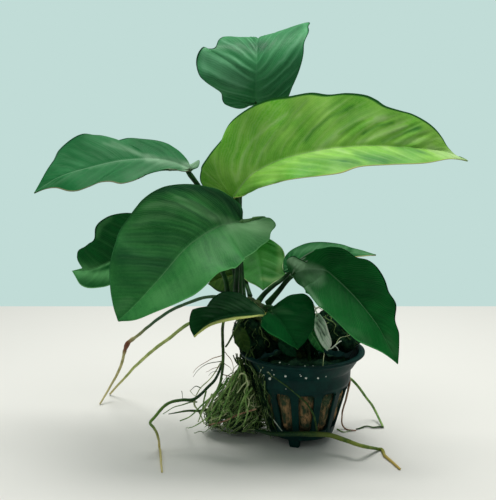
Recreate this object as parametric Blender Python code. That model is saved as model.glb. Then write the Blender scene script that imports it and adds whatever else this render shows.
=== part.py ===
"""Potted anubias: heart-shaped leaves on stalks from a creeping rhizome, rooted in a slotted pot.

Metres, +Z up, X to the viewer's right and Y away from the viewer. Sizes below are in millimetres.
"""

import math
from dataclasses import dataclass

import bmesh
import bpy
import numpy as np
from mathutils import Matrix

MM = 0.001

# The place that the photograph was taken from, measured from the foot of the pot's axis, and its lens.
VIEWPOINT = np.array([-23.4, -429.6, 167.2])
VIEW_PITCH = math.radians(11.0)
VIEW_FOCAL = 1032.0
VIEW_CENTRE = (248.0, 250.0)

POT_RIM_Z = 40.2
POT_FLANGE_R = 27.0
POT_COLLAR = ((24.7, 37.6), (22.6, 34.2), (21.1, 32.4), (20.9, 27.2))
POT_WALL_TOP = (20.3, 26.4)
POT_WALL_FOOT = (13.9, 3.4)
POT_WALL = 1.1
SLOT_COUNT = 12
SLOT_Z = (7.6, 25.6)
SLOT_START = -97.0
STEPS_PER_SLOT = 3
FOOT_SIZE = (5.2, 3.4, 3.7)
FOOT_RADIUS = 11.6
FOOT_ANGLES = (253.0, 28.0, 140.0)
WOOL_GAP = 0.4
WOOL_TOP = 27.6

BLADE_THICKNESS = 0.8
MARGIN_POINTS = 240
VEIN_SLANT = 0.5
STALK_GAP = 0.45


def view_ray(right, down):
    forward = np.array([0.0, math.cos(VIEW_PITCH), -math.sin(VIEW_PITCH)])
    up = np.array([0.0, math.sin(VIEW_PITCH), math.cos(VIEW_PITCH)])
    across = np.array([1.0, 0.0, 0.0])
    right_share = (right - VIEW_CENTRE[0]) / VIEW_FOCAL
    down_share = (down - VIEW_CENTRE[1]) / VIEW_FOCAL
    return forward + across * right_share - up * down_share


def seen(right, down, depth):
    """The point that the photograph shows this far right and down, at a depth behind the pot's axis."""
    ray = view_ray(right, down)
    return VIEWPOINT + ray * (depth - VIEWPOINT[1]) / ray[1]


def seen_on_floor(right, down, height):
    ray = view_ray(right, down)
    return VIEWPOINT + ray * (height - VIEWPOINT[2]) / ray[2]


def smooth_path(points, count):
    """Points at even spacing along a smooth curve through the given ones."""
    knots = np.array(points, float)
    ends = np.vstack([2 * knots[0] - knots[1], knots, 2 * knots[-1] - knots[-2]])
    dense = []
    for a, b, c, d in zip(ends, ends[1:], ends[2:], ends[3:]):
        for t in np.linspace(0.0, 1.0, 24, endpoint=False):
            square, cube = 2 * a - 5 * b + 4 * c - d, 3 * b - a - 3 * c + d
            dense.append(0.5 * (2 * b + (c - a) * t + square * t**2 + cube * t**3))
    dense.append(knots[-1])
    dense = np.array(dense)
    travelled = np.concatenate([[0.0], np.cumsum(np.linalg.norm(np.diff(dense, axis=0), axis=1))])
    wanted = np.linspace(0.0, travelled[-1], count)
    return np.stack([np.interp(wanted, travelled, dense[:, axis]) for axis in range(3)], axis=1)


def unit(vectors):
    vectors = np.asarray(vectors, float)
    return vectors / np.linalg.norm(vectors, axis=-1, keepdims=True)


def tangents(path):
    return unit(np.gradient(path, axis=0))


def add_mesh(name, points, faces, weld=True):
    mesh = bpy.data.meshes.new(name)
    mesh.from_pydata([tuple(point * MM) for point in np.asarray(points, float)], [], faces)
    obj = bpy.data.objects.new(name, mesh)
    bpy.context.scene.collection.objects.link(obj)
    work = bmesh.new()
    work.from_mesh(mesh)
    if weld:
        bmesh.ops.remove_doubles(work, verts=work.verts, dist=0.01 * MM)
    bmesh.ops.recalc_face_normals(work, faces=work.faces)
    work.to_mesh(mesh)
    work.free()
    return obj


def add_tube(name, path, radii, sides=6):
    """A closed tube along the path, whose radius runs smoothly through the given ones."""
    path = np.asarray(path, float)
    radii = np.interp(np.linspace(0, 1, len(path)), np.linspace(0, 1, len(radii)), radii)
    along = tangents(path)
    side = unit(np.cross(along[0], [0.31, 0.95, 0.05]))
    points = []
    for centre, forward, radius in zip(path, along, radii):
        side = unit(side - forward * (side @ forward))
        other = np.cross(forward, side)
        for turn in np.arange(sides) * 2 * math.pi / sides:
            points.append(centre + radius * (side * math.cos(turn) + other * math.sin(turn)))
    faces = []
    for ring in range(len(path) - 1):
        for corner in range(sides):
            following = (corner + 1) % sides
            low, high = ring * sides, (ring + 1) * sides
            faces.append((low + corner, low + following, high + following, high + corner))
    faces.append(tuple(reversed(range(sides))))
    faces.append(tuple(range(len(points) - sides, len(points))))
    return add_mesh(name, points, faces, weld=False)


@dataclass
class Leaf:
    """A blade with its stalk. Its halves are left and right looking from stalk to tip, upper side up."""

    name: str
    midrib: tuple  # seen points from the stalk to the tip
    facing: tuple  # which way the upper side faces, at the stalk and at the tip
    left: tuple  # the margin from the stalk to the tip, as far right and down as it is seen
    right: tuple
    stalk: tuple  # seen points from the rhizome up to the blade
    stalk_radius: float = 1.2
    fold: tuple = (15.0, 15.0)  # degrees that each half rises from the midrib
    curl: tuple = (0.0, 0.0)  # degrees more at the margin
    flat_width: tuple = (0.0, 0.0)  # over 0: the margin is typed as shares of the length and of this width
    wave: tuple = (0.0, 2.0, 0.0)  # height, count and start of the waves towards the margin
    rows: int = 12
    columns: int = 3


def view_position(points):
    """How far right and down the photograph shows each point."""
    forward = np.array([0.0, math.cos(VIEW_PITCH), -math.sin(VIEW_PITCH)])
    up = np.array([0.0, math.sin(VIEW_PITCH), math.cos(VIEW_PITCH)])
    offset = points - VIEWPOINT
    ahead = offset @ forward
    right = VIEW_CENTRE[0] + VIEW_FOCAL * offset[..., 0] / ahead
    down = VIEW_CENTRE[1] - VIEW_FOCAL * (offset @ up) / ahead
    return np.stack([right, down], axis=-1)


def blade_frames(leaf):
    path = smooth_path([seen(*point) for point in leaf.midrib], 61)
    length = np.linalg.norm(np.diff(path, axis=0), axis=1).sum()
    along = tangents(path)
    share = np.linspace(0, 1, len(path))[:, None]
    facing = unit(leaf.facing[0]) * (1 - share) + unit(leaf.facing[1]) * share
    normal = unit(facing - along * (facing * along).sum(axis=1, keepdims=True))
    return path, along, normal, length


def folded_points(leaf, frames, side, along_midrib, outward):
    """Where points of the flattened half lie once it is folded and bent along the midrib."""
    path, along, normal, length = frames
    sign = 1.0 if side == 0 else -1.0
    stations = np.linspace(0, length, len(path))
    inside = np.clip(along_midrib, 0, length)

    def at(values):
        return np.stack([np.interp(inside, stations, values[:, axis]) for axis in range(3)], axis=-1)

    forward, up = unit(at(along)), unit(at(normal))
    sideways = np.cross(up, forward) * sign
    centre = at(path) + forward * (along_midrib - inside)[..., None]
    fold, curl = math.radians(leaf.fold[side]), math.radians(leaf.curl[side])
    if abs(curl) < 1e-6:
        reach, rise = outward * math.cos(fold), outward * math.sin(fold)
    else:
        bend = 0.35 * length / curl
        turned = fold + outward / bend
        reach = bend * (np.sin(turned) - math.sin(fold))
        rise = bend * (math.cos(fold) - np.cos(turned))
    return centre + sideways * reach[..., None] + up * rise[..., None]


def flattened(leaf, frames, side, spots):
    """The seen margin laid flat: how far along the midrib and out from it each of its points lies."""
    length = frames[3]
    tried_along, tried_out = np.linspace(-0.4, 1.1, 76) * length, np.linspace(0.0, 0.75, 51) * length
    along, out = np.meshgrid(tried_along, tried_out, indexing="ij")
    shown = view_position(folded_points(leaf, frames, side, along, out))
    found = []
    for spot in spots:
        misses = np.linalg.norm(shown - np.array(spot, float), axis=-1)
        best = np.unravel_index(misses.argmin(), misses.shape)
        guess = np.array([along[best], out[best]])
        for _ in range(6):
            trial = np.array([guess, guess + [0.01, 0], guess + [0, 0.01]])
            tried = folded_points(leaf, frames, side, trial[:, 0], trial[:, 1])
            here, ahead, beside = view_position(tried)
            slope = np.stack([ahead - here, beside - here], axis=1) / 0.01
            step = np.linalg.lstsq(slope, np.array(spot, float) - here, rcond=0.02)[0]
            guess = guess + np.clip(step, -2, 2)
            guess[1] = max(guess[1], 0.0)
        found.append(guess)
    return np.array(found)


def half_margin(leaf, frames, side):
    """The margin of a half from the stalk to the tip, flattened, as many points at even spacing."""
    length = frames[3]
    spots = (leaf.left, leaf.right)[side]
    if leaf.flat_width[side]:
        inner = np.array(spots, float) * [length, leaf.flat_width[side]]
    else:
        inner = flattened(leaf, frames, side, spots)
    corners = np.vstack([[0, 0], inner, [length, 0]])
    margin = smooth_path(np.column_stack([corners, np.zeros(len(corners))]), MARGIN_POINTS)[:, :2]
    margin[:, 1] = np.maximum(margin[:, 1], 0)
    return margin


def vein_lines(margin, length, rows):
    """Where each line leaves the midrib and meets the margin: the lobe's first, then those slanting on."""
    reached = margin[:, 0] - VEIN_SLANT * margin[:, 1]
    behind = np.flatnonzero(reached <= 0)
    turn = behind[behind < len(margin) // 2].max()
    passed = np.maximum.accumulate(np.maximum(reached[turn:], 0))
    passed[-1] = length
    lobe_rows = max(1, round(rows * turn / len(margin)))
    starts = np.linspace(0, length, round(0.75 * rows) + 1)
    ends = turn + np.interp(starts[1:], passed, np.arange(len(passed)))
    starts = np.concatenate([np.zeros(lobe_rows), starts])
    ends = np.concatenate([np.linspace(0, turn, lobe_rows + 1), ends])
    return starts, ends


def waved(leaf, points, along_share, out_share, side):
    """Moves points towards the viewer and back, so that the waves leave the seen outline where it is."""
    height, count, start = leaf.wave
    ray = unit(points - VIEWPOINT)
    shift = height * out_share**2 * np.sin(2 * math.pi * (count * along_share + start + 0.4 * side))
    return points + ray * shift[..., None]


def blade_grid(leaf, frames, side, rows, columns):
    """Lines that slant forward from the midrib, as the veins do, each with points out to the margin."""
    length = frames[3]
    margin = half_margin(leaf, frames, side)
    starts, ends = vein_lines(margin, length, rows)
    count = np.arange(len(margin))
    reach = np.stack([np.interp(ends, count, margin[:, axis]) for axis in (0, 1)], axis=1)
    out_share = np.linspace(0, 1, columns + 1) * np.ones((len(starts), 1))
    along_midrib = starts[:, None] + (reach[:, 0] - starts)[:, None] * out_share
    outward = reach[:, 1][:, None] * out_share
    points = folded_points(leaf, frames, side, along_midrib, outward)
    return waved(leaf, points, along_midrib / length, out_share, side)


def add_blade(leaf):
    frames = blade_frames(leaf)
    points, faces = [], []
    for side in (0, 1):
        grid = blade_grid(leaf, frames, side, leaf.rows, leaf.columns)
        first = len(points)
        lines, columns = grid.shape[:2]
        points.extend(grid.reshape(-1, 3))
        for line in range(lines - 1):
            for column in range(columns - 1):
                a = first + line * columns + column
                corners = (a, a + 1, a + columns + 1, a + columns)
                faces.append(corners if side else corners[::-1])
    obj = add_mesh(leaf.name + "_blade", points, faces)
    work = bmesh.new()
    work.from_mesh(obj.data)
    bmesh.ops.dissolve_degenerate(work, edges=work.edges, dist=0.02 * MM)
    bmesh.ops.recalc_face_normals(work, faces=work.faces)
    work.to_mesh(obj.data)
    work.free()
    solid = obj.modifiers.new("thickness", "SOLIDIFY")
    solid.thickness = BLADE_THICKNESS * MM
    solid.offset = 0.0
    return frames


def add_stalk(leaf, frames):
    """The stalk, ending just under the blade where its midrib starts."""
    path, along, normal, _ = frames
    drop = BLADE_THICKNESS / 2 + leaf.stalk_radius * 0.8 + STALK_GAP
    end = path[0] - normal[0] * drop + along[0] * 0.5
    points = [seen(*point) for point in leaf.stalk]
    route = smooth_path(points + [end], max(5, 2 * len(points) + 3))
    add_tube(leaf.name + "_stalk", route, (leaf.stalk_radius, leaf.stalk_radius * 0.8))


def wall_radius(z):
    (top_r, top_z), (foot_r, foot_z) = POT_WALL_TOP, POT_WALL_FOOT
    return foot_r + (top_r - foot_r) * (z - foot_z) / (top_z - foot_z)


def add_pot():
    """One moulded piece: flange, flared collar, slotted wall, floor and three feet."""
    middle = sum(SLOT_Z) / 2
    floor_top = POT_WALL_FOOT[1] + POT_WALL
    outer = [
        (POT_FLANGE_R - 2.4, POT_RIM_Z),
        (POT_FLANGE_R, POT_RIM_Z),
        (POT_FLANGE_R, POT_RIM_Z - 1.1),
        *POT_COLLAR,
        POT_WALL_TOP,
        (wall_radius(SLOT_Z[1]), SLOT_Z[1]),
        (wall_radius(middle), middle),
        (wall_radius(SLOT_Z[0]), SLOT_Z[0]),
        POT_WALL_FOOT,
    ]
    inner = [
        (wall_radius(floor_top) - POT_WALL, floor_top),
        (wall_radius(SLOT_Z[0]) - POT_WALL, SLOT_Z[0]),
        (wall_radius(middle) - POT_WALL, middle),
        (wall_radius(SLOT_Z[1]) - POT_WALL, SLOT_Z[1]),
        (POT_COLLAR[3][0] - POT_WALL, POT_COLLAR[3][1] + 0.8),
        (POT_COLLAR[2][0] - POT_WALL, POT_COLLAR[2][1] + 0.4),
        (POT_COLLAR[1][0] - POT_WALL, POT_COLLAR[1][1] + 0.4),
    ]
    profile = outer + inner
    opposite = {8: 15, 9: 14, 10: 13}
    steps = SLOT_COUNT * STEPS_PER_SLOT
    angles = np.radians(SLOT_START + np.arange(steps) * 360.0 / steps)
    points = [(r * math.cos(a), r * math.sin(a), z) for a in angles for r, z in profile]
    rows = len(profile)
    floor_row, top_row = len(outer) - 1, len(outer)
    points += [(0, 0, POT_WALL_FOOT[1]), (0, 0, floor_top)]
    below, above = len(points) - 2, len(points) - 1

    def at(step, row):
        return (step % steps) * rows + row % rows

    def is_slot(step):
        return step % STEPS_PER_SLOT != STEPS_PER_SLOT - 1

    faces = []
    for step in range(steps):
        for row in range(rows):
            if row == floor_row:
                faces.append((at(step, row), below, at(step + 1, row)))
                faces.append((at(step, top_row), at(step + 1, top_row), above))
                continue
            if is_slot(step) and row in (8, 9, 13, 14):
                continue
            faces.append((at(step, row), at(step, row + 1), at(step + 1, row + 1), at(step + 1, row)))
        if is_slot(step):
            for row in (8, 10):
                far = opposite[row]
                faces.append((at(step, row), at(step + 1, row), at(step + 1, far), at(step, far)))
        if is_slot(step) != is_slot(step - 1):
            for row in (8, 9):
                outside = (at(step, row), at(step, row + 1))
                faces.append((*outside, at(step, opposite[row + 1]), at(step, opposite[row])))
    pot = add_mesh("net_pot", points, faces, weld=False)
    for number, angle in enumerate(FOOT_ANGLES):
        foot = add_foot(number, math.radians(angle))
        join = pot.modifiers.new(f"foot {number}", "BOOLEAN")
        join.operation = "UNION"
        join.solver = "EXACT"
        join.object = foot


def add_foot(number, angle):
    width, depth, height = FOOT_SIZE
    out = np.array([math.cos(angle), math.sin(angle), 0.0])
    across = np.array([-out[1], out[0], 0.0])
    points = []
    for z, share in ((0.0, 0.8), (height, 1.0)):
        for a, b in ((-1, -1), (1, -1), (1, 1), (-1, 1)):
            sideways = out * a * depth * share / 2 + across * b * width * share / 2
            points.append(out * FOOT_RADIUS + sideways + [0, 0, z])
    faces = [(0, 3, 2, 1), (4, 5, 6, 7), (0, 1, 5, 4), (1, 2, 6, 5), (2, 3, 7, 6), (3, 0, 4, 7)]
    foot = add_mesh(f"foot_shape_{number}", points, faces)
    foot.hide_render = True
    foot.display_type = "WIRE"
    return foot


def add_turned(name, profile, steps, centre=(0, 0)):
    """A closed turned solid from a profile that starts and ends on its axis."""
    points = [(centre[0], centre[1], profile[0][1])]
    rings = profile[1:-1]
    for radius, z in rings:
        for turn in np.arange(steps) * 2 * math.pi / steps:
            across, deep = radius * math.cos(turn), radius * math.sin(turn)
            points.append((centre[0] + across, centre[1] + deep, z))
    points.append((centre[0], centre[1], profile[-1][1]))
    last = len(points) - 1
    faces = []
    for step in range(steps):
        after = (step + 1) % steps
        faces.append((0, 1 + after, 1 + step))
        for ring in range(len(rings) - 1):
            low, high = 1 + ring * steps, 1 + (ring + 1) * steps
            faces.append((low + step, low + after, high + after, high + step))
        top = 1 + (len(rings) - 1) * steps
        faces.append((top + step, top + after, last))
    return add_mesh(name, points, faces, weld=False)


def add_wool():
    floor = POT_WALL_FOOT[1] + POT_WALL + WOOL_GAP
    inset = POT_WALL + WOOL_GAP
    profile = [
        (0, floor),
        (wall_radius(floor) - inset, floor),
        (wall_radius(WOOL_TOP - 1) - inset, WOOL_TOP - 1),
        (wall_radius(WOOL_TOP) - inset - 1.5, WOOL_TOP),
        (0, WOOL_TOP + 0.6),
    ]
    add_turned("mineral_wool", profile, 24)


LEAVES = [
    Leaf(
        "top_leaf",
        midrib=(
            (256, 103, 20), (256, 85, 17), (256.5, 62, 18), (257, 46, 25), (258, 39, 38), (260, 40, 55),
            (264, 48, 68),
        ),
        facing=((0.0, -1.0, 0.15), (0.1, -0.1, 1.0)),
        left=(
            (-0.04, 0.25), (-0.02, 0.48), (0.01, 0.55), (0.06, 0.57), (0.09, 0.67), (0.13, 0.83),
            (0.17, 0.93), (0.24, 0.98), (0.31, 0.96), (0.37, 0.88), (0.355, 0.79), (0.37, 0.68),
            (0.47, 0.645), (0.58, 0.58), (0.7, 0.47), (0.8, 0.35), (0.92, 0.16),
        ),
        right=(
            (-0.04, 0.25), (-0.02, 0.45), (0.05, 0.54), (0.12, 0.645), (0.19, 0.75), (0.25, 0.82),
            (0.3, 0.835), (0.36, 0.91), (0.42, 0.9), (0.48, 0.93), (0.57, 0.87), (0.68, 0.75),
            (0.8, 0.5), (0.92, 0.2),
        ),
        flat_width=(26.4, 26.0),
        fold=(-4, 25),
        stalk=(
            (243, 297, 5), (241, 272, 9), (239.5, 225, 15), (241, 180, 20), (249, 145, 22),
            (255, 122, 22),
        ),
        rows=16,
    ),
    Leaf(
        "bright_leaf",
        midrib=(
            (233, 197, -3), (250, 176, -4), (275, 162, -6), (302, 154, -9), (335, 148, -12),
            (374, 146, -14), (412, 148, -15), (445, 152, -14), (468, 161, -12),
        ),
        facing=((0.0, -0.8, 0.6), (0.0, -0.77, 0.64)),
        left=(
            (220, 195), (207, 190), (200, 180), (201, 168), (209, 155), (222, 139), (231, 122),
            (249, 108), (270, 99), (311, 93), (350, 93), (375, 99), (400, 111), (422, 119), (436, 128),
            (446, 142), (456, 155),
        ),
        right=(
            (245, 195), (263, 187), (281, 182), (302, 178), (320, 176), (341, 173), (360, 167),
            (391, 165), (427, 163), (452, 159),
        ),
        fold=(20, 20),
        stalk=((239, 296, -1), (239, 262, -1), (239, 225, -2), (237.5, 205, -3)),
        stalk_radius=1.5,
        rows=14,
    ),
    Leaf(
        "left_leaf",
        midrib=(
            (190, 169, 2), (172, 162, 1), (151, 159, 0), (120, 161, -2), (89, 168, -5), (60, 177, -8),
            (34, 193, -11),
        ),
        facing=((0.0, -0.6, 0.8), (0.0, -0.6, 0.8)),
        left=(
            (184, 171), (169, 169), (156, 172), (143, 176), (133, 181), (121, 184), (110, 182),
            (99, 183), (89, 187), (77, 191), (67, 191), (56, 188), (46, 189),
        ),
        right=(
            (198, 167), (199, 160), (190, 164), (186, 158), (172, 146), (159, 141), (143, 139),
            (128, 138), (113, 141), (104, 136), (94, 135), (83, 134), (72, 139), (59, 150), (53, 161),
            (43, 177),
        ),
        fold=(3, 3),
        stalk=((236, 299, 3), (235, 270, 5), (228, 232, 5), (208, 200, 4), (198, 185, 3)),
        rows=14,
    ),
    Leaf(
        "centre_leaf",
        midrib=(
            (241, 221, -12), (222, 225, -14), (203, 235, -18), (184, 250, -22), (160, 278, -29),
            (138, 302, -35), (118, 321, -40),
        ),
        facing=((-0.3, -0.9, 0.3), (-0.3, -0.9, 0.3)),
        left=(
            (244, 223), (249, 222), (255, 220), (262, 218), (270, 218), (276, 225), (271, 232),
            (269, 240), (261, 246), (250, 255), (239, 265), (230, 269), (216, 275), (201, 290),
            (182, 301), (153, 313), (134, 320),
        ),
        right=(
            (243, 212), (239, 203), (228, 195), (214, 188), (191, 184), (172, 185), (156, 190),
            (143, 199), (136, 207), (128, 218), (118, 234), (110, 263), (110, 286), (113, 305),
        ),
        fold=(22, 22),
        stalk=((235, 302, -5), (236.5, 285, -8), (238.5, 255, -10), (241, 235, -11)),
        rows=15,
    ),
    Leaf(
        "far_left_leaf",
        midrib=((160, 236, 13), (136, 246, 15), (112, 256, 18), (92, 263, 20), (72, 266, 22)),
        facing=((-0.13, -0.86, 0.5), (-0.13, -0.86, 0.5)),
        left=(
            (156, 248), (142, 262), (124, 274), (108, 280), (96, 280), (86, 280), (80, 277), (75, 271),
        ),
        right=(
            (158, 226), (146, 217), (130, 213), (116, 214), (105, 218), (96, 226), (94, 239), (88, 244),
            (80, 249), (77, 256), (79, 262),
        ),
        fold=(25, 25),
        stalk=((229, 303, 5), (224, 275, 6), (205, 245, 9), (180, 234, 12)),
        stalk_radius=1.0,
    ),
    Leaf(
        "small_bright_leaf",
        midrib=((256, 240, 32), (258, 255, 28), (261, 274, 20), (263, 290, 12)),
        facing=((0.0, -0.9, 0.4), (0.0, -0.8, 0.6)),
        left=(
            (262, 238), (270, 239), (280, 246), (284, 252), (285, 259), (283, 268), (286, 276),
            (275, 282), (268, 287),
        ),
        right=((250, 238), (245, 243), (241, 252), (240, 264), (242, 275), (247, 281), (255, 285)),
        fold=(8, 8),
        stalk=((250, 296, 9), (246, 278, 20), (250, 254, 31)),
        stalk_radius=0.9,
        rows=9,
    ),
    Leaf(
        "right_back_leaf",
        midrib=((290, 268, 8), (305, 261, 9), (325, 256, 10), (350, 253, 11), (376, 255, 12)),
        facing=((0.0, -0.35, 0.94), (0.0, -0.35, 0.94)),
        left=(
            (286, 274), (283, 266), (284, 259), (288, 253), (297, 247), (308, 243), (320, 242),
            (332, 243), (343, 245), (352, 248), (364, 251),
        ),
        right=((293, 273), (300, 270), (315, 264), (335, 260), (356, 257)),
        fold=(6, 6),
        stalk=((259, 300, 3), (264, 290, 4), (275, 281, 6)),
        stalk_radius=1.1,
    ),
    Leaf(
        "right_front_leaf",
        midrib=(
            (292, 274, -6), (306, 269, -7), (324, 270, -9), (334, 277, -12), (347, 289, -17),
            (360, 303, -23), (377, 325, -31), (388, 345, -36), (398, 364, -40),
        ),
        facing=((0.1, -0.95, 0.35), (0.05, -0.95, 0.35)),
        left=(
            (288, 268), (287, 260), (293, 256), (300, 259), (307, 262), (310, 256), (316, 250),
            (325, 248), (336, 248), (346, 250), (356, 257), (368, 260), (377, 267), (385, 280),
            (389, 292), (396, 304), (395, 320), (399, 334), (399, 350),
        ),
        right=(
            (295, 279), (301, 286), (308, 294), (315, 302), (324, 310), (333, 318), (341, 326),
            (350, 335), (359, 342), (377, 350), (386, 355),
        ),
        fold=(26, 26),
        stalk=((268, 304, -4), (279, 291, -5), (287, 281, -6)),
        stalk_radius=1.3,
        rows=15,
    ),
    Leaf(
        "lower_left_leaf",
        midrib=((266, 315, -14), (250, 314, -17), (228, 316, -20), (208, 323, -22), (194, 337, -23)),
        facing=((0.0, -0.3, 0.95), (-0.35, -0.35, 0.87)),
        left=((0.04, 0.1), (0.12, 0.4), (0.25, 0.75), (0.45, 1.0), (0.65, 0.9), (0.85, 0.5)),
        right=(
            (262, 309), (255, 304), (249, 300), (239, 293), (223, 292), (212, 299), (206, 307),
            (202, 307), (197, 304), (190, 316), (190, 328),
        ),
        flat_width=(13.0, 0.0),
        fold=(24, 24),
        stalk=((252, 309, -7), (259, 312, -10)),
        stalk_radius=1.1,
    ),
    Leaf(
        "lower_front_leaf",
        midrib=((270, 312, -17), (279, 320, -21), (289, 334, -26), (298, 349, -30)),
        facing=((0.45, -0.8, 0.37), (0.45, -0.8, 0.37)),
        left=(
            (270, 308), (275, 305), (280, 301), (286, 297), (296, 294), (305, 294), (312, 300),
            (315, 308), (315, 316), (314, 327), (310, 334), (305, 342),
        ),
        right=((267, 315), (263, 320), (261, 327), (270, 334), (280, 339), (290, 345)),
        fold=(30, 30),
        stalk=((266, 308, -6), (272, 308, -12)),
        stalk_radius=1.1,
    ),
    Leaf(
        "young_folded_leaf",
        midrib=((316, 313, -8), (320, 326, -11), (324, 340, -14), (327, 351, -16)),
        facing=((-0.4, -0.9, 0.2), (-0.4, -0.9, 0.2)),
        left=((320, 315), (325, 321), (328, 330), (331, 340), (331, 346)),
        right=((314, 318), (314, 328), (316, 336), (321, 345)),
        fold=(25, 25),
        stalk=((317, 368, 0), (316, 340, -2), (315, 322, -4)),
        stalk_radius=0.8,
        rows=7,
        columns=2,
    ),
    Leaf(
        "young_dark_leaf",
        midrib=((309, 329, -3), (314, 337, -6), (319, 345, -9), (324, 353, -11)),
        facing=((0.2, -0.9, 0.4), (0.2, -0.9, 0.4)),
        left=((313, 330), (318, 337), (323, 346)),
        right=((307, 334), (310, 342), (317, 350)),
        fold=(15, 15),
        stalk=((310, 372, -6), (309, 350, -5), (308, 336, -2)),
        stalk_radius=0.7,
        rows=6,
        columns=2,
    ),
    Leaf(
        "shaded_leaf",
        midrib=((240, 274, 17), (230, 276, 18), (219, 279, 18), (208, 284, 18)),
        facing=((0.0, -0.8, 0.6), (0.0, -0.8, 0.6)),
        left=((241, 285), (234, 294), (220, 292)),
        right=((238, 266), (229, 264), (219, 270)),
        fold=(10, 10),
        stalk=((238, 299, 9), (237, 286, 15)),
        stalk_radius=0.8,
        rows=7,
        columns=2,
    ),
    Leaf(
        "rim_leaf",
        midrib=((240, 327, -3), (241, 336, -8), (244, 345, -11), (248, 354, -13)),
        facing=((-0.3, -0.9, 0.3), (-0.3, -0.9, 0.3)),
        left=((245, 329), (249, 336), (251, 345)),
        right=((235, 330), (234, 339), (239, 348)),
        fold=(15, 15),
        stalk=((247, 313, -5), (241, 316, -3), (239, 321, 0)),
        stalk_radius=0.7,
        rows=7,
        columns=2,
    ),
    Leaf(
        "mouth_leaf",
        midrib=((279, 340, -9), (284, 346, -12), (290, 352, -15), (296, 357, -17)),
        facing=((-0.3, -0.9, 0.35), (-0.3, -0.9, 0.35)),
        left=((284, 340), (291, 345), (296, 351)),
        right=((278, 345), (281, 351), (288, 356)),
        fold=(12, 12),
        stalk=((285, 336, -6.6), (281, 337, -8)),
        stalk_radius=0.6,
        rows=7,
        columns=2,
    ),
]


@dataclass
class Root:
    name: str
    route: tuple  # seen points, and for one on the floor only how far right and down it is seen
    radii: tuple
    points: int


ROOTS = [
    Root(
        "left_root_upper",
        route=(
            (234, 305, 1), (222, 298, 3), (207, 297, 6), (190, 302, 10), (170, 311, 16), (150, 325, 24),
            (136, 337, 30), (127, 345, 33), (122, 362, 38), (113, 382, 46), (100, 404),
        ),
        radii=(0.75, 0.75, 0.7, 1.3, 0.7, 0.5),
        points=15,
    ),
    Root(
        "left_root_lower",
        route=(
            (228, 312, 6), (208, 317, 10), (188, 324, 15), (171, 337, 22), (150, 353, 32),
            (131, 371, 45), (110, 394),
        ),
        radii=(0.7, 0.7, 0.65, 0.5),
        points=12,
    ),
    Root(
        "hanging_root",
        route=(
            (232, 318, -6), (223, 330, -11), (224, 350, -14), (224, 371, -15), (219, 386, -16),
            (207, 405, -16),
        ),
        radii=(0.8, 0.9, 0.75, 0.5),
        points=10,
    ),
    Root(
        "front_root",
        route=(
            (256, 430, -7), (268, 433, -13), (283, 434, -17.5), (305, 434, -18.5), (328, 435, -19),
            (345, 440, -21), (362, 446, -25), (387, 456), (400, 468),
        ),
        radii=(1.2, 1.3, 1.2, 1.0, 0.6),
        points=13,
    ),
    Root(
        "right_root",
        route=(
            (337, 388, 13), (343, 379, 15), (351, 379, 16), (366, 397, 18), (375, 410, 21), (383, 427),
        ),
        radii=(0.8, 0.8, 0.6),
        points=8,
    ),
    Root(
        "left_floor_root",
        route=(
            (220.5, 368, -13.5), (216, 379, -13), (208.5, 387, -13), (195, 398.5, -13), (183, 400, -14),
            (171, 402, -15), (163, 407, -16), (155, 417, -18), (150.5, 423, -20), (154, 428, -21),
            (157.5, 435, -22), (159.5, 449), (162, 472),
        ),
        radii=(0.7, 0.75, 0.7, 0.5),
        points=17,
    ),
]


def add_root(root):
    points = []
    for spot in root.route:
        on_floor = len(spot) == 2
        points.append(seen_on_floor(*spot, root.radii[-1] + 0.1) if on_floor else seen(*spot))
    path = smooth_path(points, root.points)
    thick = np.interp(np.linspace(0, 1, len(path)), np.linspace(0, 1, len(root.radii)), root.radii)
    path[:, 2] = np.maximum(path[:, 2], thick + 0.1)
    add_tube(root.name, path, root.radii)


RHIZOME = ((303, 369, 1), (297, 354, 0), (278, 331, -1), (260, 312, -1), (245, 303, 0))
RHIZOME_RADII = (3.6, 4.2, 4.2, 3.4)

# Outline of the root tangle against the pot's left side: height, middle, half sizes across and in depth.
ROOT_MASS = (
    (0.2, (-27, 9), (8, 6)),
    (3.5, (-26.5, 6), (13.5, 9.5)),
    (10, (-27, 4), (13.5, 10.5)),
    (17, (-27, 2), (10.5, 9)),
    (24, (-26.5, 1), (7, 7.5)),
    (30, (-26, 0), (4, 5.5)),
    (36, (-27, 0), (2, 3)),
)


def pot_outside(z):
    outline = [*POT_COLLAR, POT_WALL_TOP, POT_WALL_FOOT]
    radii, heights = zip(*reversed(outline))
    return np.interp(z, heights, radii)


def add_root_mass():
    """The tangle, pressed against the pot but clear of it."""
    sides = 14
    points, faces = [], []
    for z, (x, y), (across, deep) in ROOT_MASS:
        for corner in range(sides):
            turn = corner * 2 * math.pi / sides
            bump = 1 + 0.07 * math.sin(3 * turn + z)
            spot = np.array([x + across * bump * math.cos(turn), y + deep * bump * math.sin(turn)])
            clear = pot_outside(z) + 0.6
            spot *= max(1.0, clear / np.linalg.norm(spot))
            points.append((spot[0], spot[1], z))
    for ring in range(len(ROOT_MASS) - 1):
        for corner in range(sides):
            following = (corner + 1) % sides
            low, high = ring * sides, (ring + 1) * sides
            faces.append((low + corner, low + following, high + following, high + corner))
    faces.append(tuple(reversed(range(sides))))
    faces.append(tuple(range(len(points) - sides, len(points))))
    add_mesh("root_mass", points, faces, weld=False)


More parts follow.
